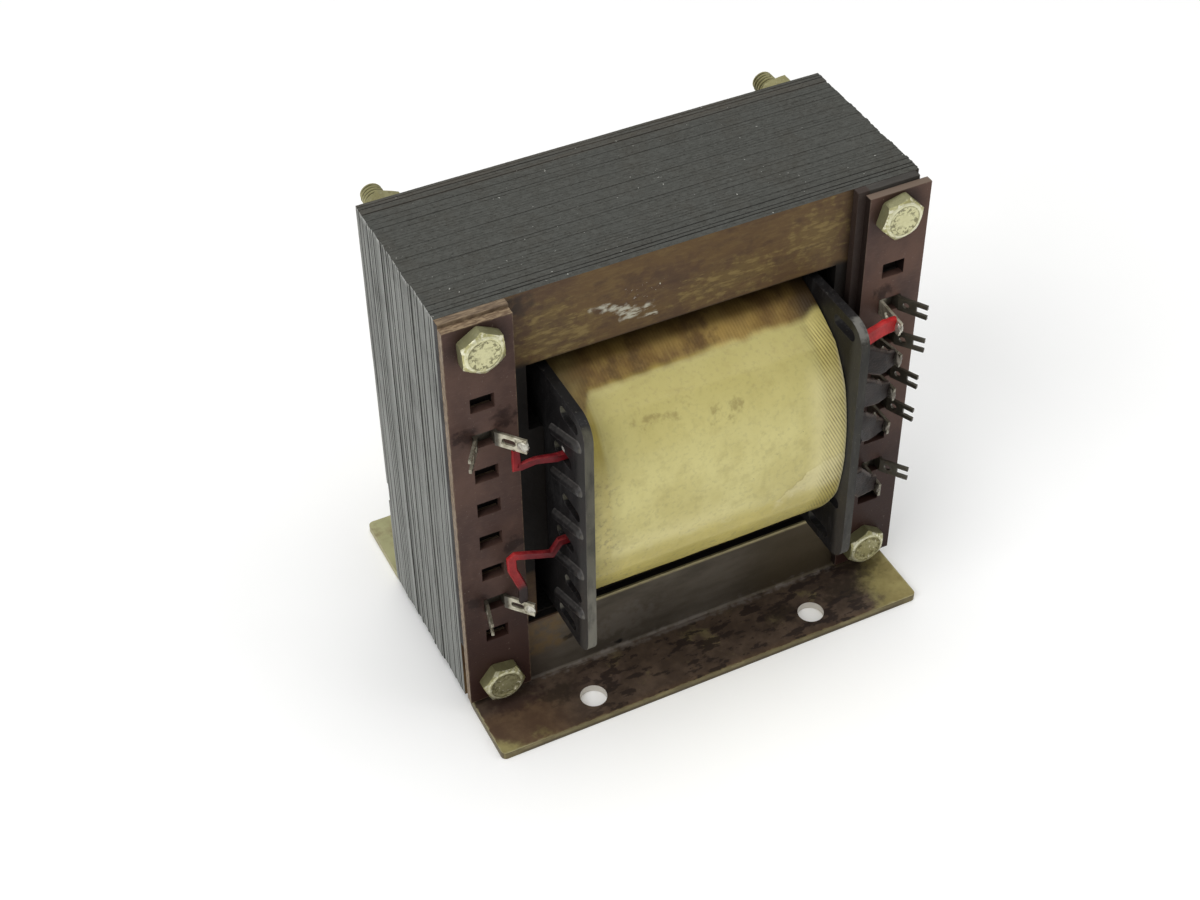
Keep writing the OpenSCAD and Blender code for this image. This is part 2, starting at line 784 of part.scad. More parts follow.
core_stack();
coil_bobbin();
primary_winding();
interlayer_insulation();
secondary_winding();
outer_wrap();
left_terminal_strip();
right_terminal_strip();
left_spacer_strip();
right_spacer_strip();
front_foot();
rear_foot();
clamp_bolts();
clamp_nuts();
rear_washers();
left_terminal(0);  // left_upper_terminal
left_terminal(1);  // left_lower_terminal
right_terminal(0);  // right_terminal_1
right_terminal(1);  // right_terminal_2
right_terminal(2);  // right_terminal_3
right_terminal(3);  // right_terminal_4
right_terminal(4);  // right_terminal_5
color(red) sleeve(left_upper_route, round_size, round_size);  // left_upper_lead
color(red) sleeve(left_lower_route, round_size, round_size);  // left_lower_lead
right_lead(0, red);  // right_lead_1
right_lead(1, dark_sleeve);  // right_lead_2
right_lead(2, dark_sleeve);  // right_lead_3
right_lead(3, dark_sleeve);  // right_lead_4
right_lead(4, dark_sleeve);  // right_lead_5
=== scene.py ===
"""Looks of the laminated mains transformer: core sheets, bobbin, wrapped coil, terminal boards, feet, fasteners."""

import math
import random

import bmesh
import bpy
from mathutils import Matrix, Vector, noise
from mathutils.geometry import delaunay_2d_cdt


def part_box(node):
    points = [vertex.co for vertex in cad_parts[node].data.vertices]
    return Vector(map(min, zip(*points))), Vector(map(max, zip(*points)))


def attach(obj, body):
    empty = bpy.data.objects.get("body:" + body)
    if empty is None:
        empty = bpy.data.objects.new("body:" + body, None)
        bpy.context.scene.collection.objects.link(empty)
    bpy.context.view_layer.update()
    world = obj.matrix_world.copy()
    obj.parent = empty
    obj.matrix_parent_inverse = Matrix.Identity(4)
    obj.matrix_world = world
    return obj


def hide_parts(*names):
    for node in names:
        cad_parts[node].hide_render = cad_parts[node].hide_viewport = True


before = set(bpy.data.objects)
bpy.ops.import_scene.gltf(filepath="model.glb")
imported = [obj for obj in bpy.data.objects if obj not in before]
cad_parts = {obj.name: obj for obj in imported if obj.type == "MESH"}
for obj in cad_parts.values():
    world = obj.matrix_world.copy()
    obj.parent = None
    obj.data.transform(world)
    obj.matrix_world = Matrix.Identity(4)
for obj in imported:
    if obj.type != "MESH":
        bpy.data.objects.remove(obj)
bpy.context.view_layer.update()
MM = 0.001

# places shared by pieces and finishes, in millimetres
AXIS_Z = 44.6  # height of the coil's axis, which is the core's middle
BOLT_X, BOLT_RISE = 36.8, 37.5  # axes of the clamp bolts, from the core's middle
BOLT_Z = (7.1, 82.1)  # heights of the lower and the upper bolts
BOLT_HOLE = 2.25  # radius
FOOT_HOLE_X, FOOT_HOLE_Y = 22.2, 26.1
FLAP_START, FLAP_SLOPE, FLAP_TOP = 28.9, 0.81, 43.9  # edge of the wrap's loose flap: height over x, and its highest
FAR = 1000.0  # past every side of the part


def corners(node):
    """Lowest and highest corner of a node, in millimetres."""
    low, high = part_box(node)
    return low / MM, high / MM


# Finishes


class Sketch:
    """Places and links the shader nodes of one finish or one shared effect."""

    def __init__(self, tree):
        self.tree = tree

    def plug(self, socket, value):
        if isinstance(value, bpy.types.NodeSocket):
            self.tree.links.new(value, socket)
        elif socket.type == "RGBA":
            socket.default_value = (*value[:3], 1.0)
        else:
            socket.default_value = value

    def node(self, kind, inputs=None, **settings):
        made = self.tree.nodes.new("ShaderNode" + kind)
        for key, value in settings.items():
            setattr(made, key, value)
        for name, value in (inputs or {}).items():
            self.plug(made.inputs[name], value)
        return made

    def math(self, operation, a, b=0.0):
        return self.node("Math", {0: a, 1: b}, operation=operation).outputs[0]

    def both(self, *masks):
        product = masks[0]
        for mask in masks[1:]:
            product = self.math("MULTIPLY", product, mask)
        return product

    def either(self, *masks):
        most = masks[0]
        for mask in masks[1:]:
            most = self.math("MAXIMUM", most, mask)
        return most

    def ramp(self, value, low, high, start=0.0, end=1.0):
        inputs = {"Value": value, "From Min": low, "From Max": high, "To Min": start, "To Max": end}
        return self.node("MapRange", inputs, interpolation_type="SMOOTHSTEP").outputs[0]

    def colour(self, mask, under, over, mode="MIX"):
        made = self.node("Mix", {0: mask, 6: under, 7: over}, data_type="RGBA", blend_type=mode)
        return made.outputs[2]

    def tint(self, under, over, mask, amount):
        """The colour over lies on the colour under, where the mask is, by the amount."""
        return self.colour(self.math("MULTIPLY", mask, amount), under, over)

    def size(self, value):
        """A value without its sign."""
        return self.math("ABSOLUTE", value)

    def beyond(self, mask):
        """Where a mask is not."""
        return self.math("SUBTRACT", 1.0, mask)

    def spread(self, mask, start, end):
        """A mask drawn from 0 to 1 out to the range from start to end."""
        return self.ramp(mask, 0.0, 1.0, start, end)

    def reach(self, across, up):
        """Distance from two distances at right angles."""
        return self.math("SQRT", self.math("ADD", self.both(across, across), self.both(up, up)))

    def split(self, vector):
        return self.node("SeparateXYZ", {0: vector}).outputs

    def effect(self, group, **inputs):
        made = self.tree.nodes.new("ShaderNodeGroup")
        made.node_tree = group
        for name, value in inputs.items():
            self.plug(made.inputs[name], value)
        return made.outputs[0]


class Finish(Sketch):
    """A material of the transformer, with the place on it in millimetres and the way the surface faces."""

    def __init__(self, name):
        self.material = bpy.data.materials.new(name)
        self.material.use_nodes = True
        super().__init__(self.material.node_tree)
        self.tree.nodes.clear()
        self.shader = self.node("BsdfPrincipled")
        out = self.node("OutputMaterial")
        self.tree.links.new(self.shader.outputs[0], out.inputs[0])
        spot = self.node("TexCoord").outputs["Object"]
        self.place = self.node("VectorMath", {0: spot, "Scale": 1000.0}, operation="SCALE").outputs[0]
        self.x, self.y, self.z = self.split(self.place)
        self.facing = self.split(self.node("NewGeometry").outputs["Normal"])

    def patches(self, scale, low, high, stretch=(1, 1, 1), detail=4.0):
        return self.effect(PATCHES, Place=self.place, Stretch=stretch, Scale=scale, Detail=detail, Low=low, High=high)

    def rim(self, low, high, width):
        return self.effect(RIM, Place=self.place, Low=low, High=high, Width=width)

    def spot(self, centre, reach):
        return self.effect(SPOT, Place=self.place, Centre=centre, Reach=reach)

    def from_bolt(self):
        """Distance from the axis of the nearest clamp bolt."""
        across = self.math("SUBTRACT", self.size(self.x), BOLT_X)
        up = self.math("SUBTRACT", self.size(self.math("SUBTRACT", self.z, AXIS_Z)), BOLT_RISE)
        return self.reach(across, up)

    def from_foot_hole(self):
        """Distance from the axis of the nearest mounting hole in the feet."""
        across = self.math("SUBTRACT", self.size(self.x), FOOT_HOLE_X)
        return self.reach(across, self.math("SUBTRACT", self.size(self.y), FOOT_HOLE_Y))

    def attribute(self, name):
        return self.node("Attribute", attribute_name=name).outputs["Fac"]

    def bump(self, height, distance, strength=1.0):
        inputs = {"Height": height, "Distance": distance * MM, "Strength": strength}
        self.plug(self.shader.inputs["Normal"], self.node("Bump", inputs).outputs[0])

    def done(self, colour, roughness, metallic=0.0, specular=0.5, coat=0.0):
        values = {"Base Color": colour, "Roughness": roughness, "Metallic": metallic,
                  "Specular IOR Level": specular, "Coat Weight": coat}
        for name, value in values.items():
            self.plug(self.shader.inputs[name], value)
        return self.material


def effect_group(name, inputs, output):
    tree = bpy.data.node_groups.new(name, "ShaderNodeTree")
    for label, kind in inputs:
        tree.interface.new_socket(label, in_out="INPUT", socket_type="NodeSocket" + kind)
    tree.interface.new_socket(output, in_out="OUTPUT", socket_type="NodeSocketFloat")
    given = tree.nodes.new("NodeGroupInput").outputs
    result = tree.nodes.new("NodeGroupOutput").inputs
    return tree, Sketch(tree), given, result


def patches_effect():
    """Uneven patches: where a stretched noise lies above Low, full from High on."""
    inputs = (("Place", "Vector"), ("Stretch", "Vector"), ("Scale", "Float"), ("Detail", "Float"),
              ("Low", "Float"), ("High", "Float"))
    tree, s, given, result = effect_group("patches", inputs, "Mask")
    drawn = s.node("VectorMath", {0: given["Place"], 1: given["Stretch"]}, operation="MULTIPLY").outputs[0]
    cloud = s.node("TexNoise", {"Vector": drawn, "Scale": given["Scale"], "Detail": given["Detail"],
                                "Roughness": 0.6}).outputs[0]
    s.plug(result[0], s.ramp(cloud, given["Low"], given["High"]))
    return tree


def rim_effect():
    """Worn rim along the sides of a box from Low to High, broken up by a noise."""
    inputs = (("Place", "Vector"), ("Low", "Vector"), ("High", "Vector"), ("Width", "Float"))
    tree, s, given, result = effect_group("worn rim", inputs, "Mask")
    from_low = s.node("VectorMath", {0: given["Place"], 1: given["Low"]}, operation="SUBTRACT").outputs[0]
    from_high = s.node("VectorMath", {0: given["High"], 1: given["Place"]}, operation="SUBTRACT").outputs[0]
    nearest = s.split(s.node("VectorMath", {0: from_low, 1: from_high}, operation="MINIMUM").outputs[0])
    distance = s.math("MINIMUM", s.math("MINIMUM", nearest[0], nearest[1]), nearest[2])
    cloud = s.node("TexNoise", {"Vector": given["Place"], "Scale": 0.9, "Detail": 5.0}).outputs[0]
    width = s.math("MULTIPLY", given["Width"], s.ramp(cloud, 0.25, 0.75, 0.25, 1.6))
    s.plug(result[0], s.ramp(distance, width, 0.0))
    return tree


def spot_effect():
    """Soft oval spot round Centre, with a ragged border."""
    inputs = (("Place", "Vector"), ("Centre", "Vector"), ("Reach", "Vector"))
    tree, s, given, result = effect_group("soft spot", inputs, "Mask")
    away = s.node("VectorMath", {0: given["Place"], 1: given["Centre"]}, operation="SUBTRACT").outputs[0]
    away = s.node("VectorMath", {0: away, 1: given["Reach"]}, operation="DIVIDE").outputs[0]
    distance = s.node("VectorMath", {0: away}, operation="LENGTH").outputs["Value"]
    cloud = s.node("TexNoise", {"Vector": given["Place"], "Scale": 0.7, "Detail": 5.0}).outputs[0]
    s.plug(result[0], s.ramp(s.math("ADD", distance, s.ramp(cloud, 0.2, 0.8, -0.5, 0.5)), 1.0, 0.3))
    return tree


PATCHES, RIM, SPOT = patches_effect(), rim_effect(), spot_effect()


def sheet_steel():
    f = Finish("core sheet steel")
    tone = f.attribute("sheet_tone")
    streaks = f.patches(1.0, 0.34, 0.68, (0.012, 3.4, 0.012))
    smears = f.patches(0.16, 0.42, 0.68, (1, 0.7, 1), 6.0)
    grain = f.patches(1.5, 0.36, 0.70, (0.8, 1.2, 0.8), 5.0)
    pores = f.patches(2.4, 0.54, 0.66, (0.8, 1.2, 0.8), 4.0)
    nicks = f.patches(0.9, 0.68, 0.73, (0.5, 1.6, 0.5), 3.0)
    specks = f.patches(1.5, 0.735, 0.77, (1, 1, 1), 2.0)
    # varnished edges on top, barer edges on the sides; the sides are also painted lighter and the top darker, as
    # painted light from the left
    top = f.colour(streaks, (0.053, 0.054, 0.048), (0.061, 0.062, 0.055))
    top = f.tint(top, (0.046, 0.040, 0.030), smears, 0.35)
    top = f.tint(top, (0.090, 0.092, 0.083), grain, 0.55)
    top = f.tint(top, (0.024, 0.023, 0.018), pores, 0.6)
    side = f.colour(streaks, (0.165, 0.170, 0.158), (0.250, 0.257, 0.240))
    soiled = f.ramp(f.z, 35.0, 85.0, 0.15, 0.6)
    side = f.colour(f.both(smears, soiled), side, (0.075, 0.076, 0.070))
    aside = f.ramp(f.size(f.facing[0]), 0.4, 0.8)
    edges = f.colour(aside, top, side)
    along = f.spread(f.patches(0.05, 0.35, 0.6, (1, 3, 1)), 0.45, 1.0)
    along = f.both(along, f.ramp(f.size(f.y), 10.5, 12.5, 0.3, 1.0))
    faded = f.beyond(f.math("MULTIPLY", f.ramp(tone, 0.7, 0.0, 0.0, 0.85), along))
    edges = f.colour(1.0, edges, f.colour(aside, faded, tone), "MULTIPLY")
    rear = f.both(f.ramp(f.y, 12.4, 13.6), f.patches(0.5, 0.3, 0.65, (0.12, 1.6, 0.12)))
    edges = f.tint(edges, (0.085, 0.066, 0.047), rear, f.spread(aside, 0.3, 0.12))
    edges = f.tint(edges, (0.012, 0.012, 0.011), nicks, f.spread(aside, 0.35, 0.75))
    edges = f.tint(edges, (0.48, 0.48, 0.44), specks, 0.7)
    top_edge = f.both(aside, f.ramp(f.z, 86.0, 87.0), f.patches(1.4, 0.42, 0.6, (1, 2, 1)))
    edges = f.tint(edges, (0.55, 0.55, 0.51), top_edge, 0.6)
    # varnished faces of the outer sheets: rust-brown, in front with golden and mottled parts
    cloud = f.patches(0.09, 0.36, 0.62, (1, 1, 1.3), 6.0)
    face = f.colour(cloud, (0.080, 0.044, 0.023), (0.116, 0.068, 0.027))
    golden = f.either(f.spot((-23.0, -16, 76.5), (9, 4, 6)), f.spot((8.0, -16, 77.0), (13, 4, 4.5)),
                      f.spot((24.0, -16, 80.0), (7, 4, 7.0)), f.spot((-24.0, -16, 82.0), (5, 4, 2.5)))
    face = f.tint(face, (0.150, 0.103, 0.034), golden, 0.55)
    reddish = f.spot((-3.5, -16, 80.5), (10, 3, 4.5))
    face = f.tint(face, (0.066, 0.034, 0.022), reddish, 0.55)
    flecks = f.patches(0.8, 0.46, 0.64, (0.45, 1, 1.9), 6.0)
    face = f.colour(f.both(flecks, f.spread(golden, 0.15, 0.7)), face, (0.235, 0.168, 0.060))
    smudge = f.spot((-28.6, -16, 84.6), (2.8, 3, 2.4))
    face = f.tint(face, (0.030, 0.019, 0.014), smudge, 0.85)
    shade = f.patches(0.33, 0.50, 0.70, (0.7, 1, 1.3), 6.0)
    face = f.tint(face, (0.058, 0.031, 0.019), shade, 0.6)
    wide = f.size(f.x)
    # painted shadow: the front face by the window edges, and the right limb beside its strip, painted near black but
    # for a lit patch low on the left
    window_edge = f.both(f.ramp(wide, 26.0, 28.2), f.ramp(f.z, 74.2, 72.2))
    centre_limb = f.both(f.ramp(wide, 28.6, 28.0), f.ramp(f.z, 73.0, 72.4))
    lit = f.both(f.ramp(f.x, -27.8, -28.2), f.ramp(f.z, 27.4, 25.8))
    painted_shade = f.either(f.both(f.either(window_edge, centre_limb), f.beyond(lit)),
                         f.math("MULTIPLY", f.ramp(f.x, 28.0, 31.5), 0.85))
    painted_shade = f.both(painted_shade, f.ramp(f.y, 1.0, -1.0))
    face = f.tint(face, (0.0045, 0.0035, 0.003), painted_shade, 0.97)
    strokes = f.either(*(f.spot((x, -16, z), (rx, 3, rz)) for x, z, rx, rz in (
        (-15.2, 79.4, 2.0, 0.6), (-13.0, 78.4, 2.2, 0.8), (-10.8, 77.2, 2.4, 1.0), (-9.0, 76.4, 2.6, 1.1),
        (-7.0, 76.7, 1.9, 0.9), (-10.4, 75.8, 1.9, 0.7), (-6.4, 75.0, 2.4, 0.55))))
    scuff = f.both(strokes, f.patches(1.1, 0.35, 0.56, (0.5, 1, 1.9), 6.0))
    face = f.colour(scuff, face, (0.45, 0.435, 0.35))
    crumbs = f.both(f.spot((-6.5, -16, 80.2), (5, 3, 1.8)), f.patches(1.9, 0.64, 0.68))
    face = f.colour(crumbs, face, (0.60, 0.58, 0.48))
    turned = f.ramp(f.size(f.facing[1]), 0.5, 0.8)
    outer_face = f.both(turned, f.ramp(f.size(f.y), 15.4, 15.7))
    colour = f.colour(outer_face, edges, face)
    # window walls painted near black: black varnish, and painted shade deep in the window
    window = f.both(f.ramp(wide, 29.5, 28.6), f.ramp(f.z, 15.6, 16.3), f.ramp(f.z, 73.4, 72.8))
    colour = f.colour(f.both(window, f.ramp(outer_face, 1.0, 0.0)), colour, (0.010, 0.009, 0.008))
    f.bump(f.either(f.patches(3.0, 0.2, 0.8, (0.3, 1.6, 0.3)), scuff), 0.05, 0.5)
    return f.done(colour, f.spread(streaks, 0.62, 0.5), f.spread(outer_face, 0.2, 0.0), specular=0.22)


def black_moulding():
    f = Finish("black bobbin moulding")
    film = f.patches(0.22, 0.38, 0.7, (1, 1, 0.6), 6.0)
    scores = f.patches(1.2, 0.56, 0.66, (1, 1.5, 0.18), 4.0)
    dust = f.patches(2.6, 0.68, 0.74, detail=2.0)
    turned = [f.size(way) for way in f.facing]
    colour = f.colour(film, (0.0075, 0.0068, 0.0072), (0.0145, 0.0135, 0.0138))
    # painted light: the web before the slots and the rounded guide ribs are greyer, as lit faces
    web = f.both(f.ramp(f.y, -27.6, -29.6), f.ramp(turned[0], 0.7, 0.95))
    web_tone = f.colour(f.ramp(f.z, 40.0, 32.0), (0.043, 0.042, 0.040), (0.054, 0.048, 0.042))
    colour = f.tint(colour, web_tone, web, 0.75)
    outward = f.size(f.x)
    left = f.ramp(f.x, 1.0, -1.0)
    ribs = f.both(f.ramp(turned[0], 0.97, 0.8), f.ramp(turned[0], 0.2, 0.4), f.ramp(outward, 25.5, 25.7))
    colour = f.tint(colour, (0.021, 0.020, 0.020), ribs, 0.5)
    colour = f.tint(colour, (0.05, 0.049, 0.048), scores, 0.3)
    # painted highlight: the flange's front edge greyer, lightest low down
    front_edge = f.both(f.ramp(f.facing[1], -0.6, -0.9), f.spread(f.patches(0.5, 0.2, 0.7, (1, 1, 0.35)), 0.4, 1.0))
    edge_tone = f.colour(f.ramp(f.z, 44.0, 30.0), (0.110, 0.104, 0.075), (0.180, 0.170, 0.138))
    colour = f.tint(colour, edge_tone, front_edge, f.ramp(f.x, 1.0, -1.0, 0.2, 0.8))
    # painted highlight with some wear: a thin light line along the corners, tan and broader low down on the left
    corner = f.both(f.ramp(turned[0], 0.25, 0.5), f.ramp(f.either(turned[1], turned[2]), 0.25, 0.5),
                    f.ramp(f.y, -16.0, -20.0), f.ramp(outward, 25.8, 25.55, 0.3, 1.0))
    corner = f.both(corner, f.spread(f.patches(0.8, 0.25, 0.6, (1, 1, 0.4)), 0.3, 1.0))
    colour = f.tint(colour, (0.115, 0.108, 0.102), corner, f.ramp(f.x, 1.0, -1.0, 0.55, 0.9))
    low_left = f.both(corner, f.ramp(f.z, 42.0, 34.0), left, f.ramp(f.y, -30.7, -31.0))
    colour = f.colour(low_left, colour, (0.29, 0.265, 0.205))
    chip = f.spot((-25.4, -23.6, 60.2), (0.8, 0.7, 0.5))
    colour = f.tint(colour, (0.42, 0.41, 0.38), chip, 0.8)
    rubbed = f.both(f.spot((24.7, -29.8, 70.4), (1.8, 3.2, 2.6)), f.ramp(f.either(turned[1], turned[2]), 0.2, 0.7))
    colour = f.tint(colour, (0.17, 0.166, 0.15), rubbed, 0.75)
    # painted shade: the upward edge of the left flange, under the core, near black
    upper_edge = f.both(f.ramp(f.facing[2], 0.8, 0.95), f.ramp(f.z, 68.0, 70.0), left)
    colour = f.tint(colour, (0.004, 0.0035, 0.0035), upper_edge, 0.8)
    colour = f.tint(colour, (0.25, 0.24, 0.21), dust, 0.3)
    f.bump(f.patches(2.2, 0.2, 0.8, detail=5.0), 0.03, 0.35)
    return f.done(colour, f.spread(film, 0.44, 0.6), specular=0.18)


def varnished_wrap():
    f = Finish("varnished yellow wrap")
    band, paper, dirt = (f.attribute(n) for n in ("brown_band", "paper_under", "grey_dirt"))
    front = f.ramp(f.y, 0.0, -10.0)
    cloud = f.patches(0.10, 0.32, 0.68, detail=5.0)
    film = f.colour(cloud, (0.53, 0.455, 0.160), (0.64, 0.565, 0.225))
    ochre = f.both(f.ramp(f.z, 51.0, 62.0), f.ramp(f.x, 8.0, -4.0, 0.3, 1.0))
    ochre = f.either(ochre, f.ramp(f.z, 31.0, 25.0, 0.0, 0.75))
    film = f.colour(ochre, film, f.colour(cloud, (0.29, 0.220, 0.036), (0.44, 0.360, 0.075)))
    sheet = f.colour(f.patches(0.09, 0.34, 0.66, (1, 1, 0.8), 5.0), (0.53, 0.470, 0.180), (0.62, 0.565, 0.240))
    sheet = f.colour(f.ramp(f.z, 50.0, 66.0, 0.0, 0.75), sheet, (0.385, 0.335, 0.115))
    sheet = f.colour(f.both(f.ramp(f.z, 45.0, 38.0, 0.0, 0.8), f.ramp(f.x, 10.0, -4.0)), sheet, (0.68, 0.615, 0.28))
    colour = f.colour(paper, film, sheet)
    mottle = f.patches(0.35, 0.48, 0.72, detail=7.0)
    colour = f.tint(colour, (0.30, 0.24, 0.08), mottle, 0.3)
    # loose flap low down on the right, under a slanting edge
    slope = f.math("MINIMUM", f.math("ADD", f.math("MULTIPLY", f.x, FLAP_SLOPE), FLAP_START), FLAP_TOP)
    under = f.math("ADD", f.math("SUBTRACT", slope, f.z), f.spread(f.patches(0.5, 0.25, 0.75), -0.5, 0.5))
    flap = f.both(f.ramp(under, 0.0, 0.4), f.ramp(f.x, 9.5, 11.0), front)
    colour = f.tint(colour, (0.65, 0.585, 0.32), flap, 0.6)
    ragged = f.math("ADD", f.z, f.spread(mottle, -1.0, 1.0))
    low_down = f.both(f.ramp(ragged, 39.0, 35.0, 0.0, 0.85), front)
    colour = f.colour(low_down, colour, f.colour(cloud, (0.42, 0.353, 0.091), (0.53, 0.447, 0.128)))
    flap_edge = f.both(f.ramp(under, -0.5, 0.05), f.ramp(under, 0.3, 0.1), f.ramp(f.x, 10.0, 13.0), front,
                       f.spread(f.patches(0.6, 0.35, 0.65), 0.2, 1.0))
    colour = f.tint(colour, (0.34, 0.28, 0.12), flap_edge, 0.5)
    blots = f.either(f.spot((2.0, -27, 59.5), (4, 6, 2.5)), f.spot((-9.0, -27, 62.0), (6, 6, 2.0)))
    blots = f.both(blots, f.patches(0.5, 0.45, 0.65))
    colour = f.tint(colour, (0.20, 0.15, 0.05), blots, 0.55)
    # brown varnish soaked into the upper band, with painted shade making it darkest beside the core and at the right
    # flange, and darker at the left flange
    stain = f.colour(f.patches(0.16, 0.36, 0.66, (1, 0.5, 0.5), 6.0), (0.125, 0.068, 0.015), (0.285, 0.185, 0.046))
    runs = f.patches(0.7, 0.52, 0.75, (1, 0.2, 0.2), 5.0)
    stain = f.tint(stain, (0.38, 0.270, 0.075), runs, 0.3)
    stain = f.tint(stain, (0.066, 0.033, 0.009), f.patches(0.2, 0.47, 0.66, (1, 0.7, 0.7), 6.0), 0.75)
    inwards = f.size(f.y)
    band_shade = f.either(f.ramp(inwards, 17.0, 14.5, 0.0, 0.65), f.ramp(f.x, 17.5, 22.0, 0.0, 0.93),
                    f.ramp(f.x, -20.5, -23.0, 0.0, 0.3))
    stain = f.colour(band_shade, stain, (0.026, 0.013, 0.005))
    colour = f.colour(band, colour, stain)
    grime = f.both(dirt, f.patches(1.3, 0.5, 0.68, detail=6.0))
    colour = f.tint(colour, (0.19, 0.16, 0.09), grime, 0.5)
    pepper = f.patches(0.9, 0.70, 0.76, detail=3.0)
    colour = f.tint(colour, (0.16, 0.13, 0.06), pepper, 0.45)
    # slanted lines of the winding press through the film near its right end
    slant = f.math("ADD", f.x, f.math("MULTIPLY", f.z, 0.5))
    lines = f.ramp(f.math("SINE", f.math("MULTIPLY", slant, 11.5)), -0.5, 0.8)
    lines = f.both(lines, f.attribute("slant_lines"), f.spread(f.patches(0.25, 0.3, 0.7), 0.55, 1.0))
    margin = f.both(f.ramp(f.x, 15.5, 19.0), f.ramp(f.z, 63.0, 58.0), f.ramp(f.z, 34.0, 40.0), front)
    colour = f.tint(colour, (0.72, 0.65, 0.335), margin, 0.45)
    beside = f.both(f.ramp(f.x, -17.0, -21.5), front, f.spread(f.patches(0.3, 0.3, 0.7), 0.5, 1.0))
    colour = f.tint(colour, (0.20, 0.165, 0.062), beside, 0.4)
    colour = f.tint(colour, (0.115, 0.080, 0.024), lines, 0.72)
    turns = f.ramp(f.math("SINE", f.math("MULTIPLY", f.x, 11.4)), -0.6, 0.9)
    turns = f.both(turns, f.attribute("turn_lines"), f.spread(f.patches(0.3, 0.3, 0.7, (2, 0.5, 0.5)), 0.3, 1))
    colour = f.tint(colour, (0.045, 0.028, 0.012), turns, 0.35)
    # painted shade: the coil's underside, in front, near black
    underside = f.both(f.ramp(f.facing[2], -0.80, -0.90), f.ramp(f.y, 4.0, 0.0))
    colour = f.colour(underside, colour, (0.020, 0.016, 0.009))
    end = f.both(f.ramp(f.x, 23.25, 23.55), f.ramp(f.z, 66.0, 60.0))
    colour = f.tint(colour, (0.48, 0.44, 0.29), end, 0.5)
    f.bump(f.either(f.math("MULTIPLY", lines, -1.0), f.math("MULTIPLY", f.patches(0.8, 0.2, 0.8), 0.25)), 0.09, 0.6)
    gloss = f.spread(band, 0.1, 0.0)
    return f.done(colour, f.spread(f.patches(0.25, 0.3, 0.7), 0.38, 0.52), specular=0.22, coat=gloss)


def paper_board():
    f = Finish("brown paper board")
    sides = []
    for node in ("left_terminal_strip", "right_terminal_strip"):
        low, high = corners(node)
        side = f.ramp(f.x, -1.0, 1.0) if low.x > 0 else f.ramp(f.x, 1.0, -1.0)
        sides.append(f.both(side, f.rim((low.x, -FAR, low.z), (high.x, FAR, high.z), 0.25)))
    cut = f.either(*sides)
    edge_on = f.ramp(f.size(f.facing[1]), 0.75, 0.4)
    cloud = f.patches(0.12, 0.35, 0.68, (1, 1, 0.7), 6.0)
    colour = f.colour(cloud, (0.064, 0.035, 0.028), (0.106, 0.061, 0.047))
    fibres = f.patches(1.6, 0.5, 0.7, (0.5, 1, 2.0), 5.0)
    colour = f.tint(colour, (0.118, 0.074, 0.060), fibres, 0.25)
    low_down = f.ramp(f.math("ADD", f.z, f.math("MULTIPLY", cloud, 7.0)), 52.0, 16.0)
    colour = f.tint(colour, (0.027, 0.0105, 0.0076), low_down, 0.88)
    reddish = f.both(f.ramp(f.x, 30.0, 36.0), f.patches(0.1, 0.3, 0.6), f.ramp(f.facing[1], -0.5, -0.9),
                     f.ramp(f.z, 30.0, 60.0))
    colour = f.tint(colour, (0.132, 0.070, 0.048), reddish, 0.7)
    # darker spots by the lugs and the left leads
    dark_by_lugs = f.either(*(f.spot((x, -19, z), (rx, 4, rz)) for x, z, rx, rz in (
        (-40.2, 65.0, 3.2, 1.8), (-40.4, 27.6, 2.8, 1.7), (-33.0, 66.5, 2.6, 2.6), (-32.9, 38.2, 2.6, 2.0),
        (35.6, 66.0, 2.4, 2.0))))
    colour = f.tint(colour, (0.016, 0.0070, 0.0058), dark_by_lugs, 0.75)
    # painted shadow round the upper bolt heads
    bolt_shadow = f.both(f.ramp(f.from_bolt(), 6.8, 3.4), f.ramp(f.z, 78.0, 83.5, 0.15, 1.0))
    colour = f.tint(colour, (0.018, 0.0075, 0.0060), bolt_shadow, 0.85)
    tan = f.colour(f.patches(0.8, 0.35, 0.65, (1, 4, 1)), (0.105, 0.067, 0.042), (0.275, 0.205, 0.125))
    tan = f.colour(f.ramp(f.x, -1.0, 1.0), tan, (0.150, 0.112, 0.085))
    colour = f.tint(colour, tan, f.either(f.both(cut, edge_on), f.math("MULTIPLY", cut, 0.4)), 0.9)
    # painted shade: the right strip's inner side, toward the bobbin, near black
    inner = f.both(f.ramp(f.x, 20.0, 25.0), f.ramp(f.facing[0], -0.80, -0.95))
    colour = f.tint(colour, (0.010, 0.006, 0.005), inner, 0.95)
    specks = f.patches(2.4, 0.70, 0.75, detail=2.0)
    colour = f.tint(colour, (0.28, 0.23, 0.18), specks, 0.3)
    f.bump(f.patches(2.0, 0.25, 0.75, (0.6, 1, 1.4), 5.0), 0.03, 0.45)
    return f.done(colour, f.spread(cloud, 0.46, 0.58), specular=0.17)


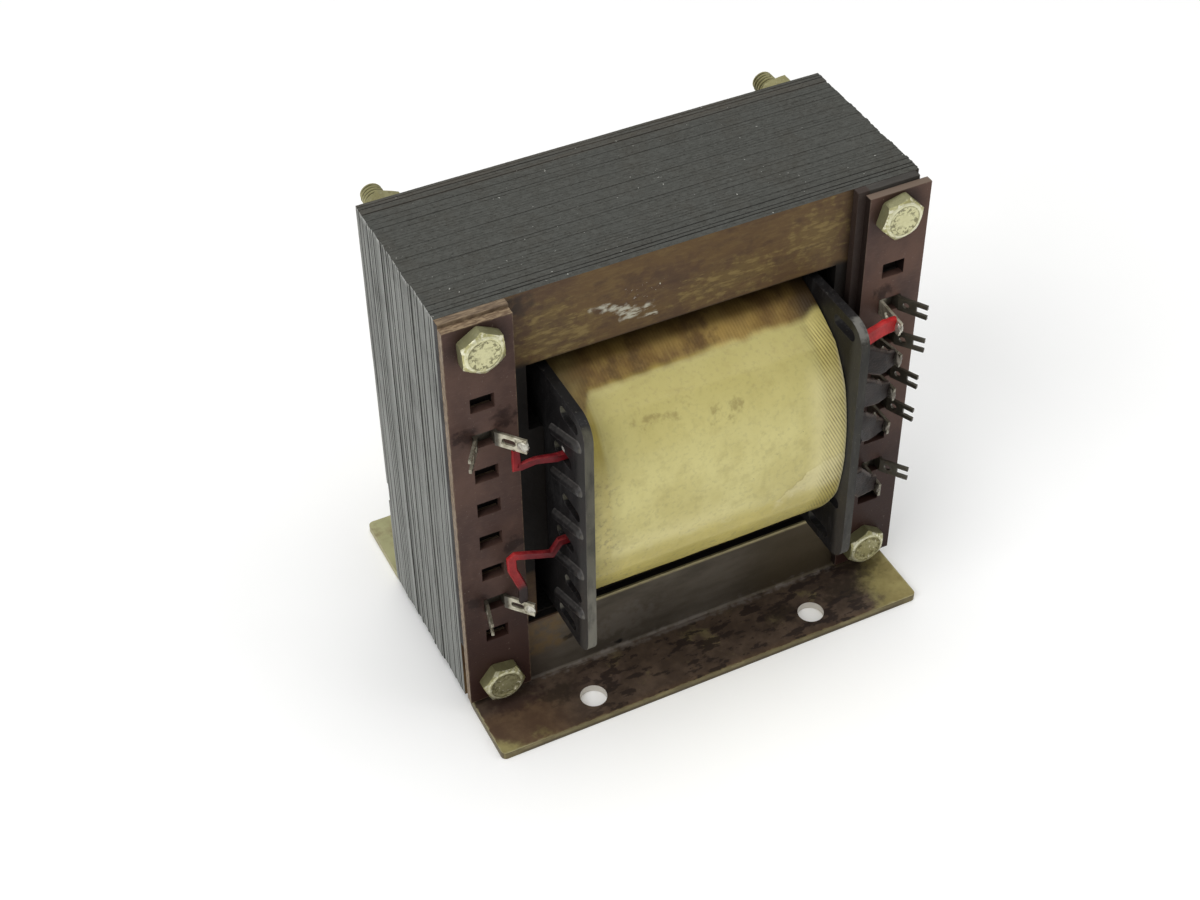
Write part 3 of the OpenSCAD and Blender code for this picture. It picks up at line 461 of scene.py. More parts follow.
def spacer_board():
    f = Finish("dark spacer board")
    cloud = f.patches(0.2, 0.35, 0.68, detail=6.0)
    # near-black board, darkened further as painted shade in the gaps behind the strips
    colour = f.colour(cloud, (0.0050, 0.0030, 0.0026), (0.0100, 0.0062, 0.0050))
    upper = f.either(f.ramp(f.facing[2], 0.4, 0.8), f.both(f.ramp(f.z, 86.1, 86.3), f.ramp(f.facing[1], -0.4, -0.8)))
    tan = f.colour(f.patches(0.8, 0.3, 0.7, (0.6, 4, 1)), (0.100, 0.066, 0.042), (0.250, 0.183, 0.112))
    left = f.both(f.ramp(f.x, 0.5, -0.5), upper)
    colour = f.tint(colour, tan, left, 0.9)
    right = f.both(upper, f.ramp(f.x, -0.5, 0.5), f.spread(f.patches(0.5, 0.3, 0.7, (0.4, 2, 1)), 0.6, 0.95))
    colour = f.colour(right, colour, (0.050, 0.046, 0.040))
    beside = f.both(f.ramp(f.x, 20.0, 25.0), f.ramp(f.x, 32.4, 32.0), f.ramp(f.z, 56.0, 72.0))
    colour = f.tint(colour, (0.034, 0.021, 0.016), beside, 0.85)
    f.bump(f.patches(2.0, 0.25, 0.75, (0.6, 3, 1.4), 5.0), 0.04, 0.5)
    return f.done(colour, f.spread(cloud, 0.55, 0.7), specular=0.3)


def passivated_steel():
    f = Finish("stained passivated steel")
    low, high = corners("front_foot")
    rear_low, rear_high = corners("rear_foot")
    behind = f.ramp(f.y, -1.0, 1.0)
    cloud = f.patches(0.10, 0.32, 0.68, detail=6.0)
    gold = f.colour(cloud, (0.225, 0.185, 0.070), (0.37, 0.325, 0.140))
    pale = f.colour(cloud, (0.30, 0.29, 0.145), (0.42, 0.41, 0.225))
    colour = f.colour(behind, gold, pale)
    # brown varnish that ran over the front foot and leaves its front corners golden
    left_corner = f.ramp(f.math("ADD", f.math("MULTIPLY", f.x, -0.75), f.math("MULTIPLY", f.y, -1.0)), 52.5, 63.0)
    right_corner = f.ramp(f.math("SUBTRACT", f.x, f.math("MULTIPLY", f.y, 0.35)), 41.5, 50.0)
    thin = f.spread(f.patches(0.16, 0.2, 0.8, detail=7.0), -0.42, 0.38)
    bare = f.ramp(f.math("ADD", f.either(left_corner, right_corner), thin), 0.12, 0.8)
    flat = f.ramp(f.facing[2], 0.1, 0.35)
    front = f.ramp(f.y, 1.0, -1.0)
    mottle = f.patches(0.3, 0.35, 0.7, detail=6.0)
    varnish = f.colour(mottle, (0.048, 0.031, 0.021), (0.086, 0.058, 0.040))
    brown = f.colour(mottle, (0.072, 0.040, 0.022), (0.112, 0.068, 0.036))
    brown_part = f.either(f.ramp(f.x, -24.0, -33.0), f.ramp(f.y, -29.2, -31.6, 0.0, 0.7))
    varnish = f.colour(f.both(brown_part, f.ramp(f.y, -20.5, -23.5)), varnish, brown)
    covered = f.both(f.beyond(bare), flat, front)
    colour = f.colour(covered, colour, varnish)
    dull = f.either(f.spot((30.5, -23.8, 1.5), (6, 4, 3)), f.spot((17.0, -24.2, 1.5), (5, 3, 3)),
                    f.spot((36.4, -20.6, 1.5), (5.5, 4, 3)), f.spot((-27.0, -22.4, 1.5), (5.5, 3.2, 3)))
    colour = f.tint(colour, (0.022, 0.014, 0.008), f.both(dull, flat, front), 0.8)
    russet = f.both(f.spot((-35.0, -21.0, 1.5), (7, 3.2, 3)), flat, front)
    colour = f.tint(colour, (0.030, 0.013, 0.010), russet, 0.65)
    lighter = f.both(f.spot((-19.6, -23.3, 1.5), (6, 3, 3)), flat, front)
    colour = f.tint(colour, (0.090, 0.060, 0.046), lighter, 0.6)
    golden = f.both(bare, flat, front, f.ramp(f.x, 33.0, 39.0))
    colour = f.tint(colour, f.colour(mottle, (0.27, 0.215, 0.076), (0.43, 0.365, 0.145)), golden, 0.6)
    spots = f.patches(0.42, 0.525, 0.58, (0.7, 1.5, 1), 5.0)
    spots = f.both(spots, flat, front, f.ramp(f.x, -30.0, -18.0), f.ramp(f.x, 37.0, 31.0))
    colour = f.tint(colour, (0.016, 0.009, 0.007), spots, 0.85)
    # upright side: grey-olive, browner to the right, with painted shade near black on top in the shelter of the coil,
    # and a bare upper edge lighter also as a painted highlight
    upright = f.both(f.ramp(f.facing[1], -0.3, -0.6), front, f.ramp(f.z, 1.2, 1.8))
    grey = f.colour(f.patches(0.18, 0.3, 0.7, (0.5, 1, 1.5), 6.0), (0.070, 0.058, 0.043), (0.118, 0.100, 0.078))
    grey = f.colour(f.ramp(f.x, 6.0, 22.0, 0.0, 0.8), grey, (0.058, 0.042, 0.020))
    grey = f.tint(grey, (0.145, 0.125, 0.103), f.spot((-12.0, -17.5, 8.0), (9, 3, 4)), 0.6)
    colour = f.colour(upright, colour, grey)
    ends = f.both(upright, f.ramp(f.x, -24.0, -33.0))
    colour = f.tint(colour, (0.058, 0.043, 0.033), ends, 0.85)
    colour = f.tint(colour, (0.014, 0.011, 0.009), f.spot((-22.8, -17.5, 8.8), (1.3, 2, 0.95)), 0.95)
    stained = f.both(upright, f.ramp(f.x, -22.0, -25.0), f.ramp(f.z, 6.5, 8.5), f.patches(0.4, 0.35, 0.6))
    colour = f.tint(colour, (0.150, 0.095, 0.040), stained, 0.8)
    # bare upper edge, lighter also as a painted highlight on its bevel
    lip = f.both(front, f.ramp(f.z, high.z - 0.8, high.z - 0.3), f.spread(f.patches(0.6, 0.2, 0.6, (1, 1, 3)), 0.5, 1))
    lip_tone = f.colour(f.ramp(f.x, -22.5, -25.5), (0.39, 0.335, 0.180), (0.085, 0.048, 0.028))
    colour = f.tint(colour, lip_tone, lip, 0.9)
    # painted shade: the upright's top face under the coil, near black
    painted_shade = f.both(front, f.ramp(f.z, high.z - 0.3, high.z - 0.1), f.ramp(f.y, -17.25, -17.05))
    colour = f.colour(f.both(painted_shade, f.ramp(f.x, 27.5, 25.0)), colour, (0.008, 0.006, 0.005))
    # pale scratches along the fold, black specks beside it and bare outer edges
    fold = f.both(f.spot((0, -18.2, 2.0), (42, 0.95, 1.5)), f.patches(0.7, 0.30, 0.55, (0.25, 2, 1), 6.0))
    colour = f.tint(colour, (0.150, 0.128, 0.110), fold, 0.9)
    dots = f.either(f.spot((-24.2, -18.4, 2.2), (1.0, 0.8, 0.7)), f.spot((-13.0, -17.6, 2.8), (0.9, 0.8, 0.7)))
    colour = f.colour(dots, colour, (0.012, 0.010, 0.009))
    edge = f.both(f.ramp(f.facing[1], -0.5, -0.8), f.ramp(f.y, -30.6, -31.0))
    colour = f.tint(colour, f.colour(mottle, (0.070, 0.050, 0.024), (0.19, 0.155, 0.078)), edge, 0.7)
    under_edge = f.both(edge, f.ramp(f.z, 1.0, 0.4), f.ramp(f.size(f.x), 41.0, 36.0))
    colour = f.tint(colour, (0.050, 0.035, 0.020), under_edge, 0.75)
    rim = f.both(front, f.rim((low.x, low.y, -FAR), (high.x, FAR, FAR), 0.38), f.ramp(f.facing[1], -0.9, -0.6))
    rim_tone = f.colour(f.ramp(f.size(f.x), 30.0, 40.0), (0.22, 0.178, 0.085), (0.42, 0.385, 0.215))
    colour = f.tint(colour, rim_tone, rim, 0.75)
    left_edge = f.both(front, f.ramp(f.facing[0], -0.5, -0.8), f.ramp(f.x, -41.0, -41.6))
    colour = f.tint(colour, f.colour(mottle, (0.055, 0.036, 0.022), (0.13, 0.10, 0.055)), left_edge, 0.8)
    rear_rim = f.both(behind, f.rim((rear_low.x, -FAR, -FAR), (rear_high.x, rear_high.y, FAR), 0.5))
    colour = f.tint(colour, (0.40, 0.37, 0.22), rear_rim, 0.7)
    rust = f.both(behind, f.patches(0.16, 0.52, 0.68, detail=6.0))
    colour = f.tint(colour, (0.17, 0.115, 0.055), rust, 0.6)
    pits = f.patches(2.0, 0.68, 0.73, detail=3.0)
    colour = f.tint(colour, (0.06, 0.045, 0.03), pits, 0.4)
    # bare walls of the mounting holes
    hole = f.both(f.ramp(f.from_foot_hole(), 2.62, 2.5), f.ramp(f.size(f.facing[2]), 0.8, 0.5))
    colour = f.tint(colour, (0.62, 0.59, 0.55), hole, 0.9)
    f.bump(f.either(f.patches(1.5, 0.2, 0.8, detail=6.0), spots), 0.035, 0.4)
    metal = f.spread(covered, 0.4, 0.1)
    return f.done(colour, f.spread(f.either(covered, cloud), 0.42, 0.56), metal, specular=0.35)


def zinc_plating():
    f = Finish("yellow zinc plating")
    cloud = f.patches(0.45, 0.32, 0.68, detail=6.0)
    colour = f.colour(cloud, (0.36, 0.335, 0.140), (0.56, 0.535, 0.265))
    tarnish = f.patches(0.9, 0.54, 0.68, detail=6.0)
    colour = f.tint(colour, (0.13, 0.11, 0.05), tarnish, 0.7)
    bright = f.patches(1.3, 0.58, 0.68, detail=4.0)
    colour = f.tint(colour, (0.74, 0.72, 0.50), bright, 0.5)
    # dished head: dirt in the dish, a polished ring round it
    radius = f.from_bolt()
    head = f.ramp(f.y, -20.6, -21.0)
    turned = f.size(f.facing[1])
    flanks = f.both(f.ramp(f.y, -10.0, -18.0), f.ramp(turned, 0.45, 0.2))
    colour = f.tint(colour, (0.23, 0.225, 0.125), flanks, 0.8)
    dish = f.both(head, f.ramp(radius, 2.85, 2.6))
    colour = f.tint(colour, (0.66, 0.64, 0.39), dish, 0.7)
    soil = f.both(dish, f.ramp(radius, 0.8, 1.9, 0.1, 1.0), f.patches(1.5, 0.49, 0.57, detail=5.0))
    colour = f.tint(colour, (0.105, 0.094, 0.042), soil, 0.75)
    ring = f.both(head, f.ramp(radius, 2.7, 2.85), f.ramp(radius, 3.4, 3.15),
                  f.spread(f.patches(1.1, 0.3, 0.6), 0.2, 1))
    colour = f.tint(colour, (0.80, 0.79, 0.58), ring, 0.7)
    outlined = f.both(head, f.ramp(radius, 2.54, 2.64), f.ramp(radius, 2.82, 2.72),
                      f.spread(f.patches(0.7, 0.35, 0.65), 0.1, 1))
    colour = f.tint(colour, (0.105, 0.096, 0.046), outlined, 0.75)
    # painted highlights on the chamfers of the heads
    chamfer_highlight = f.both(f.ramp(f.y, -20.5, -21.0), f.ramp(turned, 0.30, 0.55), f.ramp(turned, 0.95, 0.85),
                     f.patches(0.8, 0.47, 0.60))
    colour = f.tint(colour, (0.90, 0.88, 0.70), chamfer_highlight, 0.8)
    behind = f.ramp(f.y, 14.0, 17.0)
    colour = f.tint(colour, (0.20, 0.18, 0.09), behind, 0.55)
    groove = f.both(behind, f.ramp(radius, 1.93, 1.70), f.ramp(f.y, 24.75, 24.6))
    colour = f.tint(colour, (0.040, 0.036, 0.020), groove, 0.9)
    # painted shade: the lower bolts darker, more so on the left
    lower_bolt_shade = f.both(f.ramp(f.z, 30.0, 14.0, 0.0, 0.6), f.ramp(f.x, 1.0, -1.0, 0.65, 1.0),
                    f.ramp(ring, 1.0, 0.0, 0.3, 1.0))
    colour = f.colour(lower_bolt_shade, colour, (0.15, 0.135, 0.058))
    glints = f.both(head, f.ramp(f.z, 30.0, 14.0), f.patches(1.7, 0.60, 0.66, detail=3.0))
    colour = f.tint(colour, (0.82, 0.80, 0.62), glints, 0.8)
    f.bump(f.patches(2.4, 0.2, 0.8, detail=5.0), 0.04, 0.5)
    return f.done(colour, f.spread(tarnish, 0.34, 0.6), 0.55)


def tinned_brass():
    f = Finish("tinned solder tags")
    cloud = f.patches(0.8, 0.35, 0.68, detail=6.0)
    colour = f.colour(cloud, (0.30, 0.275, 0.20), (0.56, 0.53, 0.42))
    right_forks = f.both(f.ramp(f.x, 36.9, 38.0), f.ramp(f.x, 20.0, 30.0))
    left_forks = f.math("MULTIPLY", f.ramp(f.x, -38.0, -38.5), 0.5)
    bridges = f.both(f.ramp(f.y, -20.6, -19.9), f.ramp(f.x, 0.0, -10.0))
    lugs = f.both(f.ramp(f.z, 61.0, 58.0), f.ramp(f.x, 20.0, 30.0, 0.0, 0.65))
    colour = f.tint(colour, (0.050, 0.044, 0.034), f.either(right_forks, left_forks, bridges, lugs), 0.92)
    tarnish = f.patches(1.1, 0.54, 0.66, detail=5.0)
    colour = f.tint(colour, (0.09, 0.07, 0.045), tarnish, 0.7)
    f.bump(f.patches(1.6, 0.2, 0.8, detail=5.0), 0.05, 0.5)
    return f.done(colour, f.spread(tarnish, 0.3, 0.55), 0.6)


def solder():
    f = Finish("dull solder")
    cloud = f.patches(0.9, 0.34, 0.66, detail=5.0)
    colour = f.colour(cloud, (0.36, 0.345, 0.29), (0.68, 0.66, 0.58))
    flux = f.patches(0.8, 0.55, 0.7, detail=5.0)
    colour = f.tint(colour, (0.11, 0.075, 0.04), flux, 0.75)
    sooty = f.both(f.ramp(f.z, 61.0, 58.0), f.ramp(f.x, 0.0, 10.0, 0.0, 0.8))
    colour = f.colour(sooty, colour, (0.085, 0.070, 0.054))
    f.bump(f.patches(1.2, 0.2, 0.8, detail=5.0), 0.08, 0.6)
    return f.done(colour, f.spread(cloud, 0.42, 0.26), 0.65)


def red_sleeve():
    f = Finish("red sleeve")
    cloud = f.patches(0.5, 0.32, 0.7, detail=5.0)
    colour = f.colour(cloud, (0.30, 0.010, 0.012), (0.50, 0.022, 0.022))
    left = f.ramp(f.x, 0.0, -10.0)
    # painted shade: dark crimson where the left leads leave the flange, and the left leads darker all along; sooty at
    # the lower lug
    left_lead_shade = f.both(f.ramp(f.x, -34.2, -32.2), left)
    colour = f.tint(colour, (0.082, 0.004, 0.010), left_lead_shade, 0.85)
    shaded = f.both(f.ramp(f.x, -30.2, -28.4), left, f.ramp(f.z, 50.0, 46.0))
    colour = f.tint(colour, (0.020, 0.004, 0.005), shaded, 0.85)
    # painted shade: the left leads darker than the right one all along
    colour = f.colour(f.ramp(f.x, 0.0, -10.0, 0.0, 0.5), colour, (0.150, 0.006, 0.009))
    rubbed = f.both(f.ramp(f.size(f.facing[2]), 0.3, 0.8), f.patches(0.8, 0.35, 0.6))
    colour = f.tint(colour, (0.55, 0.075, 0.070), rubbed, 0.25)
    soot = f.either(f.both(f.ramp(f.z, 32.6, 30.4), left),
                    f.math("MULTIPLY", f.patches(0.6, 0.58, 0.72, detail=5.0), 0.6))
    colour = f.colour(soot, colour, (0.020, 0.010, 0.009))
    # painted shade inside the sleeve's open mouth
    colour = f.colour(f.attribute("sleeve_inside"), colour, (0.010, 0.004, 0.004))
    f.bump(f.patches(1.2, 0.2, 0.8, detail=4.0), 0.06, 0.5)
    return f.done(colour, f.spread(cloud, 0.45, 0.34), specular=0.2)


def dark_sleeve():
    f = Finish("dark varnished sleeve")
    cloud = f.patches(0.5, 0.34, 0.68, detail=6.0)
    colour = f.colour(cloud, (0.0085, 0.0052, 0.0046), (0.0225, 0.0145, 0.0120))
    worn = f.patches(0.9, 0.56, 0.7, (0.6, 1, 1.6), 5.0)
    colour = f.tint(colour, (0.070, 0.050, 0.041), worn, 0.45)
    creased = f.both(f.attribute("sleeve_crease"), f.patches(0.9, 0.3, 0.6))
    colour = f.tint(colour, (0.16, 0.125, 0.105), creased, 0.7)
    # painted shade inside the sleeve's open mouth
    colour = f.colour(f.attribute("sleeve_inside"), colour, (0.006, 0.004, 0.004))
    f.bump(f.patches(2.2, 0.25, 0.75, (1, 1, 1.6), 5.0), 0.06, 0.6)
    return f.done(colour, f.spread(worn, 0.45, 0.6), specular=0.22)


def enamelled_wire():
    f = Finish("enamelled copper wire")
    turns = f.ramp(f.math("SINE", f.math("MULTIPLY", f.x, 9.0)), -0.7, 0.9)
    colour = f.colour(turns, (0.14, 0.045, 0.018), (0.46, 0.19, 0.075))
    colour = f.tint(colour, (0.10, 0.05, 0.022), f.patches(0.3, 0.5, 0.7), 0.5)
    f.bump(turns, 0.2, 0.8)
    return f.done(colour, f.spread(turns, 0.5, 0.32), 0.4)


def wound_paper():
    f = Finish("wound insulation paper")
    cloud = f.patches(0.2, 0.3, 0.7, detail=6.0)
    colour = f.colour(cloud, (0.36, 0.26, 0.12), (0.55, 0.44, 0.24))
    fibres = f.patches(2.0, 0.5, 0.7, (0.3, 1.5, 1.5))
    colour = f.tint(colour, (0.26, 0.18, 0.09), fibres, 0.4)
    f.bump(fibres, 0.05, 0.5)
    return f.done(colour, f.spread(cloud, 0.7, 0.85), 0.0)


def white_floor():
    f = Finish("plain pale floor")
    colour = f.colour(f.patches(0.01, 0.3, 0.7), (0.93, 0.93, 0.925), (0.95, 0.95, 0.945))
    return f.done(colour, 0.75)


STEEL, BLACK, WRAP, BOARD, SPACER = sheet_steel(), black_moulding(), varnished_wrap(), paper_board(), spacer_board()
FOOT, ZINC, TIN, SOLDER = passivated_steel(), zinc_plating(), tinned_brass(), solder()
RED, DARK, WIRE, PAPER = red_sleeve(), dark_sleeve(), enamelled_wire(), wound_paper()


# Pieces


def place_piece(bm, name, finish, slot, *nodes, crease=32, even=False):
    """Puts a finished mesh, drawn in millimetres, into the scene, where it stands for its nodes."""
    bmesh.ops.scale(bm, vec=(MM, MM, MM), verts=bm.verts)
    bm.normal_update()
    mesh = bpy.data.meshes.new(name)
    bm.to_mesh(mesh)
    bm.free()
    mesh.materials.append(finish)
    mesh.shade_smooth()
    mesh.set_sharp_from_angle(angle=math.radians(crease))
    piece = bpy.data.objects.new(name, mesh)
    bpy.context.scene.collection.objects.link(piece)
    if even:
        piece.modifiers.new("even shading", "WEIGHTED_NORMAL").keep_sharp = True
    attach(piece, "root")
    if nodes:
        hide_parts(*nodes)
    return piece


def softened(node, name, radius, finish, slot, segments=2):
    """A node's own shape with its sharp edges rounded, as on the stamped, cut or moulded piece."""
    bm = bmesh.new()
    bm.from_mesh(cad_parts[node].data)
    bmesh.ops.scale(bm, vec=(1 / MM, 1 / MM, 1 / MM), verts=bm.verts)
    bmesh.ops.remove_doubles(bm, verts=bm.verts, dist=0.002)
    same_plane, sharp_from = math.radians(0.6), math.radians(38)
    bmesh.ops.dissolve_limit(bm, angle_limit=same_plane, verts=bm.verts, edges=bm.edges)
    sharp = [e for e in bm.edges if len(e.link_faces) == 2 and e.calc_face_angle(0.0) > sharp_from]
    bmesh.ops.bevel(bm, geom=sharp, offset=radius, offset_type="OFFSET", segments=segments, profile=0.5,
                    affect="EDGES", clamp_overlap=True)
    return place_piece(bm, name, finish, slot, node, crease=50, even=True)


def plate(bm, outline, openings, y0, y1, layer=None, value=0.0):
    """A flat plate in the plane of a core sheet, from its outline and openings, between two depths."""
    loops = [outline, *openings]
    points, edges = [], []
    for loop in loops:
        start = len(points)
        points += [Vector(p) for p in loop]
        edges += [(start + i, start + (i + 1) % len(loop)) for i in range(len(loop))]
    flat, _, faces, *_ = delaunay_2d_cdt(points, edges, [], 0, 1e-5)

    def inside(p, loop):
        hit = False
        for (x0, z0), (x1, z1) in zip(loop, [*loop[1:], loop[0]]):
            if (z0 > p.y) != (z1 > p.y) and p.x < x0 + (p.y - z0) / (z1 - z0) * (x1 - x0):
                hit = not hit
        return hit

    sides = [[bm.verts.new((p.x, y, p.y)) for p in flat] for y in (y0, y1)]
    if layer:
        for v in (*sides[0], *sides[1]):
            v[layer] = value
    for face in faces:
        middle = sum((flat[i] for i in face), Vector((0, 0))) / len(face)
        if inside(middle, outline) and not any(inside(middle, o) for o in openings):
            bm.faces.new([sides[0][i] for i in face])
            bm.faces.new([sides[1][i] for i in reversed(face)])
    for loop in loops:
        index = [min(range(len(flat)), key=lambda i: (flat[i] - Vector(p)).length_squared) for p in loop]
        for i, j in zip(index, [*index[1:], index[0]]):
            bm.faces.new((sides[0][i], sides[1][i], sides[1][j], sides[0][j]))


def core_sheets():
    """The stack of one-piece sheets, each with its two windows, its cut tongue and its bolt holes."""
    rng = random.Random(85)
    low, high = corners("core_stack")
    sheets = 64
    half, window, limb = 42.5, 28.0, 14.5  # half widths of the sheet, of its window and of its centre limb
    slit, per_side = 0.5, 12  # width of the tongue's cut, points along each edge
    notch_low, notch_high, notch_depth = 22.0, 26.5, 1.6
    bm = bmesh.new()
    tone_layer = bm.verts.layers.float.new("sheet_tone")
    # sheets that stand back from their neighbours and leave a dark line, with its strength
    dark_lines = {2: 0.85, 4: 0.95, 7: 0.8, 10: 0.6, 14: 0.75, 19: 0.55, 25: 0.85, 31: 0.45, 36: 0.7, 42: 0.5, 48: 0.9,
                  53: 0.65, 57: 0.85, 60: 0.9, 62: 0.8}
    parts = [0.3 if k in dark_lines else 1.0 for k in range(sheets)]
    unit = (high.y - low.y) / sum(parts)
    drift_x = drift_z = 0.0
    for k in range(sheets):
        drift_x = 0.55 * drift_x + rng.uniform(-0.10, 0.10)
        drift_z = 0.55 * drift_z + rng.uniform(-0.012, 0.012)
        wide = rng.uniform(-0.05, 0.05)
        dark = dark_lines.get(k, 0.0)
        tone = min(1.2, max(0.8, rng.gauss(1.0, 0.08))) * (1.0 - dark)
        x0, x1 = -half - wide + drift_x, half + wide + drift_x
        z0, z1 = AXIS_Z - half - wide / 4 + drift_z, AXIS_Z + half + wide / 4 + drift_z
        outline = []
        turns = ((x0, z0), (x1, z0), (x1, z1), (x0, z1))
        for (ax, az), (bx, bz) in zip(turns, (*turns[1:], turns[0])):
            for i in range(per_side):
                t = i / per_side
                push = rng.uniform(-0.025, 0.025) if i else 0.0
                across = (push, 0) if ax == bx else (0, push)
                outline.append((ax + (bx - ax) * t + across[0], az + (bz - az) * t + across[1]))
        if k >= sheets - 2:  # a notch in the left edge of the two rear sheets
            left = [p for p in outline[3 * per_side:] if not notch_low - 1.4 < p[1] < notch_high + 1.5]
            notch = [(x0, notch_high), (x0 + notch_depth, notch_high), (x0 + notch_depth, notch_low), (x0, notch_low)]
            above = [p for p in left if p[1] > notch_high]
            outline = outline[:3 * per_side] + above + notch + left[len(above):]
        side = -1 if k % 2 else 1
        root, tip, cut = -side * window, side * (window - slit), side * window
        low_window, high_window, low_limb, high_limb = (AXIS_Z + d for d in (-window, window, -limb, limb))
        opening = [(cut, low_window), (root, low_window), (root, low_limb), (tip, low_limb),
                   (tip, high_limb), (root, high_limb), (root, high_window), (cut, high_window)]
        holes = [[(bx + BOLT_HOLE * math.cos(a * math.pi / 6), bz + BOLT_HOLE * math.sin(a * math.pi / 6))
                  for a in range(12)] for bx in (-BOLT_X, BOLT_X) for bz in BOLT_Z]
        y, thick = low.y + unit * sum(parts[:k]), unit * parts[k]
        gap = 0.02 + 0.06 * dark if dark else rng.choice((0.01, 0.015, 0.02, 0.03))
        plate(bm, outline, [opening, *holes], y, y + thick - (gap if k < sheets - 1 else 0), tone_layer, tone)
    bmesh.ops.recalc_face_normals(bm, faces=bm.faces)
    return place_piece(bm, "core_sheets", STEEL, "core_steel", "core_stack", crease=20)


def coil_radius(angle, inset=0.0):
    """Distance of the coil's surface from its axis, in the direction of an angle from the rear."""
    low, high = corners("outer_wrap")
    half_y, half_z = (high.y - low.y) / 2, (high.z - low.z) / 2
    front, top, corner, rise = 47.0, 44.0, 31.2, 0.45
    reach = []
    for cy, cz, radius in ((front - half_y, 0, front), (half_y - front, 0, front), (0, top - half_z, top),
                           (0, half_z - top, top), (0, rise, corner - rise)):
        along = cy * math.cos(angle) + cz * math.sin(angle)
        reach.append(along + math.sqrt((radius - inset) ** 2 - cy * cy - cz * cz + along * along))
    return min(reach)


def step(value, low, high):
    t = min(1.0, max(0.0, (value - low) / (high - low)))
    return t * t * (3 - 2 * t)


def coil_wrap():
    """The varnished film over the coil: pressed-through turns, a stained band, a paper under it, a loose flap."""
    low, high = corners("outer_wrap")
    half_x, middle = high.x, (low.z + high.z) / 2
    columns, fine_step, coarse_step = 400, 1.0, 2.5
    angles, degrees = [], 0.0
    while degrees < 359.9:
        angles.append(math.radians(degrees))
        fine = 124 <= degrees < 142 or 178 <= degrees < 230  # the band's border and the flap
        degrees += fine_step if fine else coarse_step
    around = len(angles)
    bm = bmesh.new()
    names = ("brown_band", "paper_under", "grey_dirt", "slant_lines", "turn_lines")
    layers = {n: bm.verts.layers.float.new(n) for n in names}
    outer = []
    for angle in angles:
        ring = []
        degrees = math.degrees(angle)
        base = coil_radius(angle)
        for c in range(columns + 1):
            x = -half_x + 2 * half_x * c / columns
            wave = noise.noise(Vector((x * 0.12, degrees * 0.03, 3.0)))
            ripple = noise.noise(Vector((x * 0.5, degrees * 0.06, 8.0)))
            brink = 131.5 + 2.2 * wave + 0.8 * ripple + 9.0 * step(-x, 18.5, 22.5) - 2.0 * step(x, 19.5, 23.0)
            behind = 48.5 + 1.3 * wave + 0.8 * ripple
            if degrees > 90:
                band = 1.0 - step(degrees, brink - 1.6, brink + 1.6)
            else:
                band = step(degrees, behind - 1.6, behind + 1.6)
            paper = step(degrees, 131.0, 132.2) * (1 - step(degrees, 201.0 + 2.0 * wave, 204.0 + 2.0 * wave))
            paper = paper * step(x, -20.6, -19.6) * (1 - step(x, 19.6, 20.8))
            turns = band * (0.55 + 0.45 * wave) * (0.75 + 0.25 * step(x, -5, 15))
            turns = max(turns, 0.5 * (1 - step(x, -20.5, -18.5)) * (1 - step(degrees, 140, 156)))
            slant = step(x, 18.0, 21.0) * step(degrees, 128, 140) * (1 - step(degrees, 206, 214))
            flap_line = FLAP_START + x * FLAP_SLOPE if x < 18.5 else FLAP_TOP
            height = middle + base * math.sin(angle)
            flap = 0.0
            if degrees > 150:
                flap = step(flap_line - height, 0.0, 0.5) * step(x, 9.5, 10.5) * (1 - step(degrees, 203, 208))
            bottom = step(degrees, 200, 206) * (1 - step(degrees, 250, 320))
            dirt = max((1 - step(x, -21.5, -15.5)) * step(degrees, 145, 165), 0.35 * paper, bottom)
            lift = 0.055 * turns * (0.5 + 0.5 * math.sin(x * 11.4))
            lift += 0.10 * noise.noise(Vector((x * 0.11, degrees * 0.035, 0.0))) + 0.12 * flap * step(x, 10, 16)
            lift += 0.05 * paper
            radius = base - 0.16 + lift
            v = bm.verts.new((x, radius * math.cos(angle), middle + radius * math.sin(angle)))
            for name, value in zip(names, (band, paper, dirt, slant, max(0.0, turns))):
                v[layers[name]] = value
            ring.append(v)
        outer.append(ring)
    inner = []
    for angle in angles:
        radius = coil_radius(angle, 0.4)
        y, z = radius * math.cos(angle), middle + radius * math.sin(angle)
        inner.append([bm.verts.new((x, y, z)) for x in (-half_x, half_x)])
    for i in range(around):
        j = (i + 1) % around
        for c in range(columns):
            bm.faces.new((outer[i][c], outer[i][c + 1], outer[j][c + 1], outer[j][c]))
        bm.faces.new((inner[i][0], inner[j][0], inner[j][1], inner[i][1]))
        bm.faces.new((outer[i][0], outer[j][0], inner[j][0], inner[i][0]))
        bm.faces.new((outer[i][-1], inner[i][1], inner[j][1], outer[j][-1]))
    bmesh.ops.recalc_face_normals(bm, faces=bm.faces)
    return place_piece(bm, "coil_wrap", WRAP, "yellow_wrap", "outer_wrap", crease=60)


def bridge(bm, rings):
    """Closes the skin over a row of rings, with a face at either end."""
    sides = len(rings[0])
    for lower, upper in zip(rings, rings[1:]):
        for k in range(sides):
            n = (k + 1) % sides
            bm.faces.new((lower[k], lower[n], upper[n], upper[k]))
    bm.faces.new(list(reversed(rings[0])))
    bm.faces.new(rings[-1])


def lathe(bm, profile, turn, centre, sides=72, outline=None):
    """Turns a profile of (radius, depth) pairs about a bolt axis; an outline may hold the radius in."""
    rings = []
    for radius, y in profile:
        ring = []
        for k in range(sides):
            a = turn + 2 * math.pi * k / sides
            r = min(radius, outline(a)) if outline else radius
            ring.append(bm.verts.new((centre[0] + r * math.cos(a), y, centre[1] + r * math.sin(a))))
        rings.append(ring)
    bridge(bm, rings)


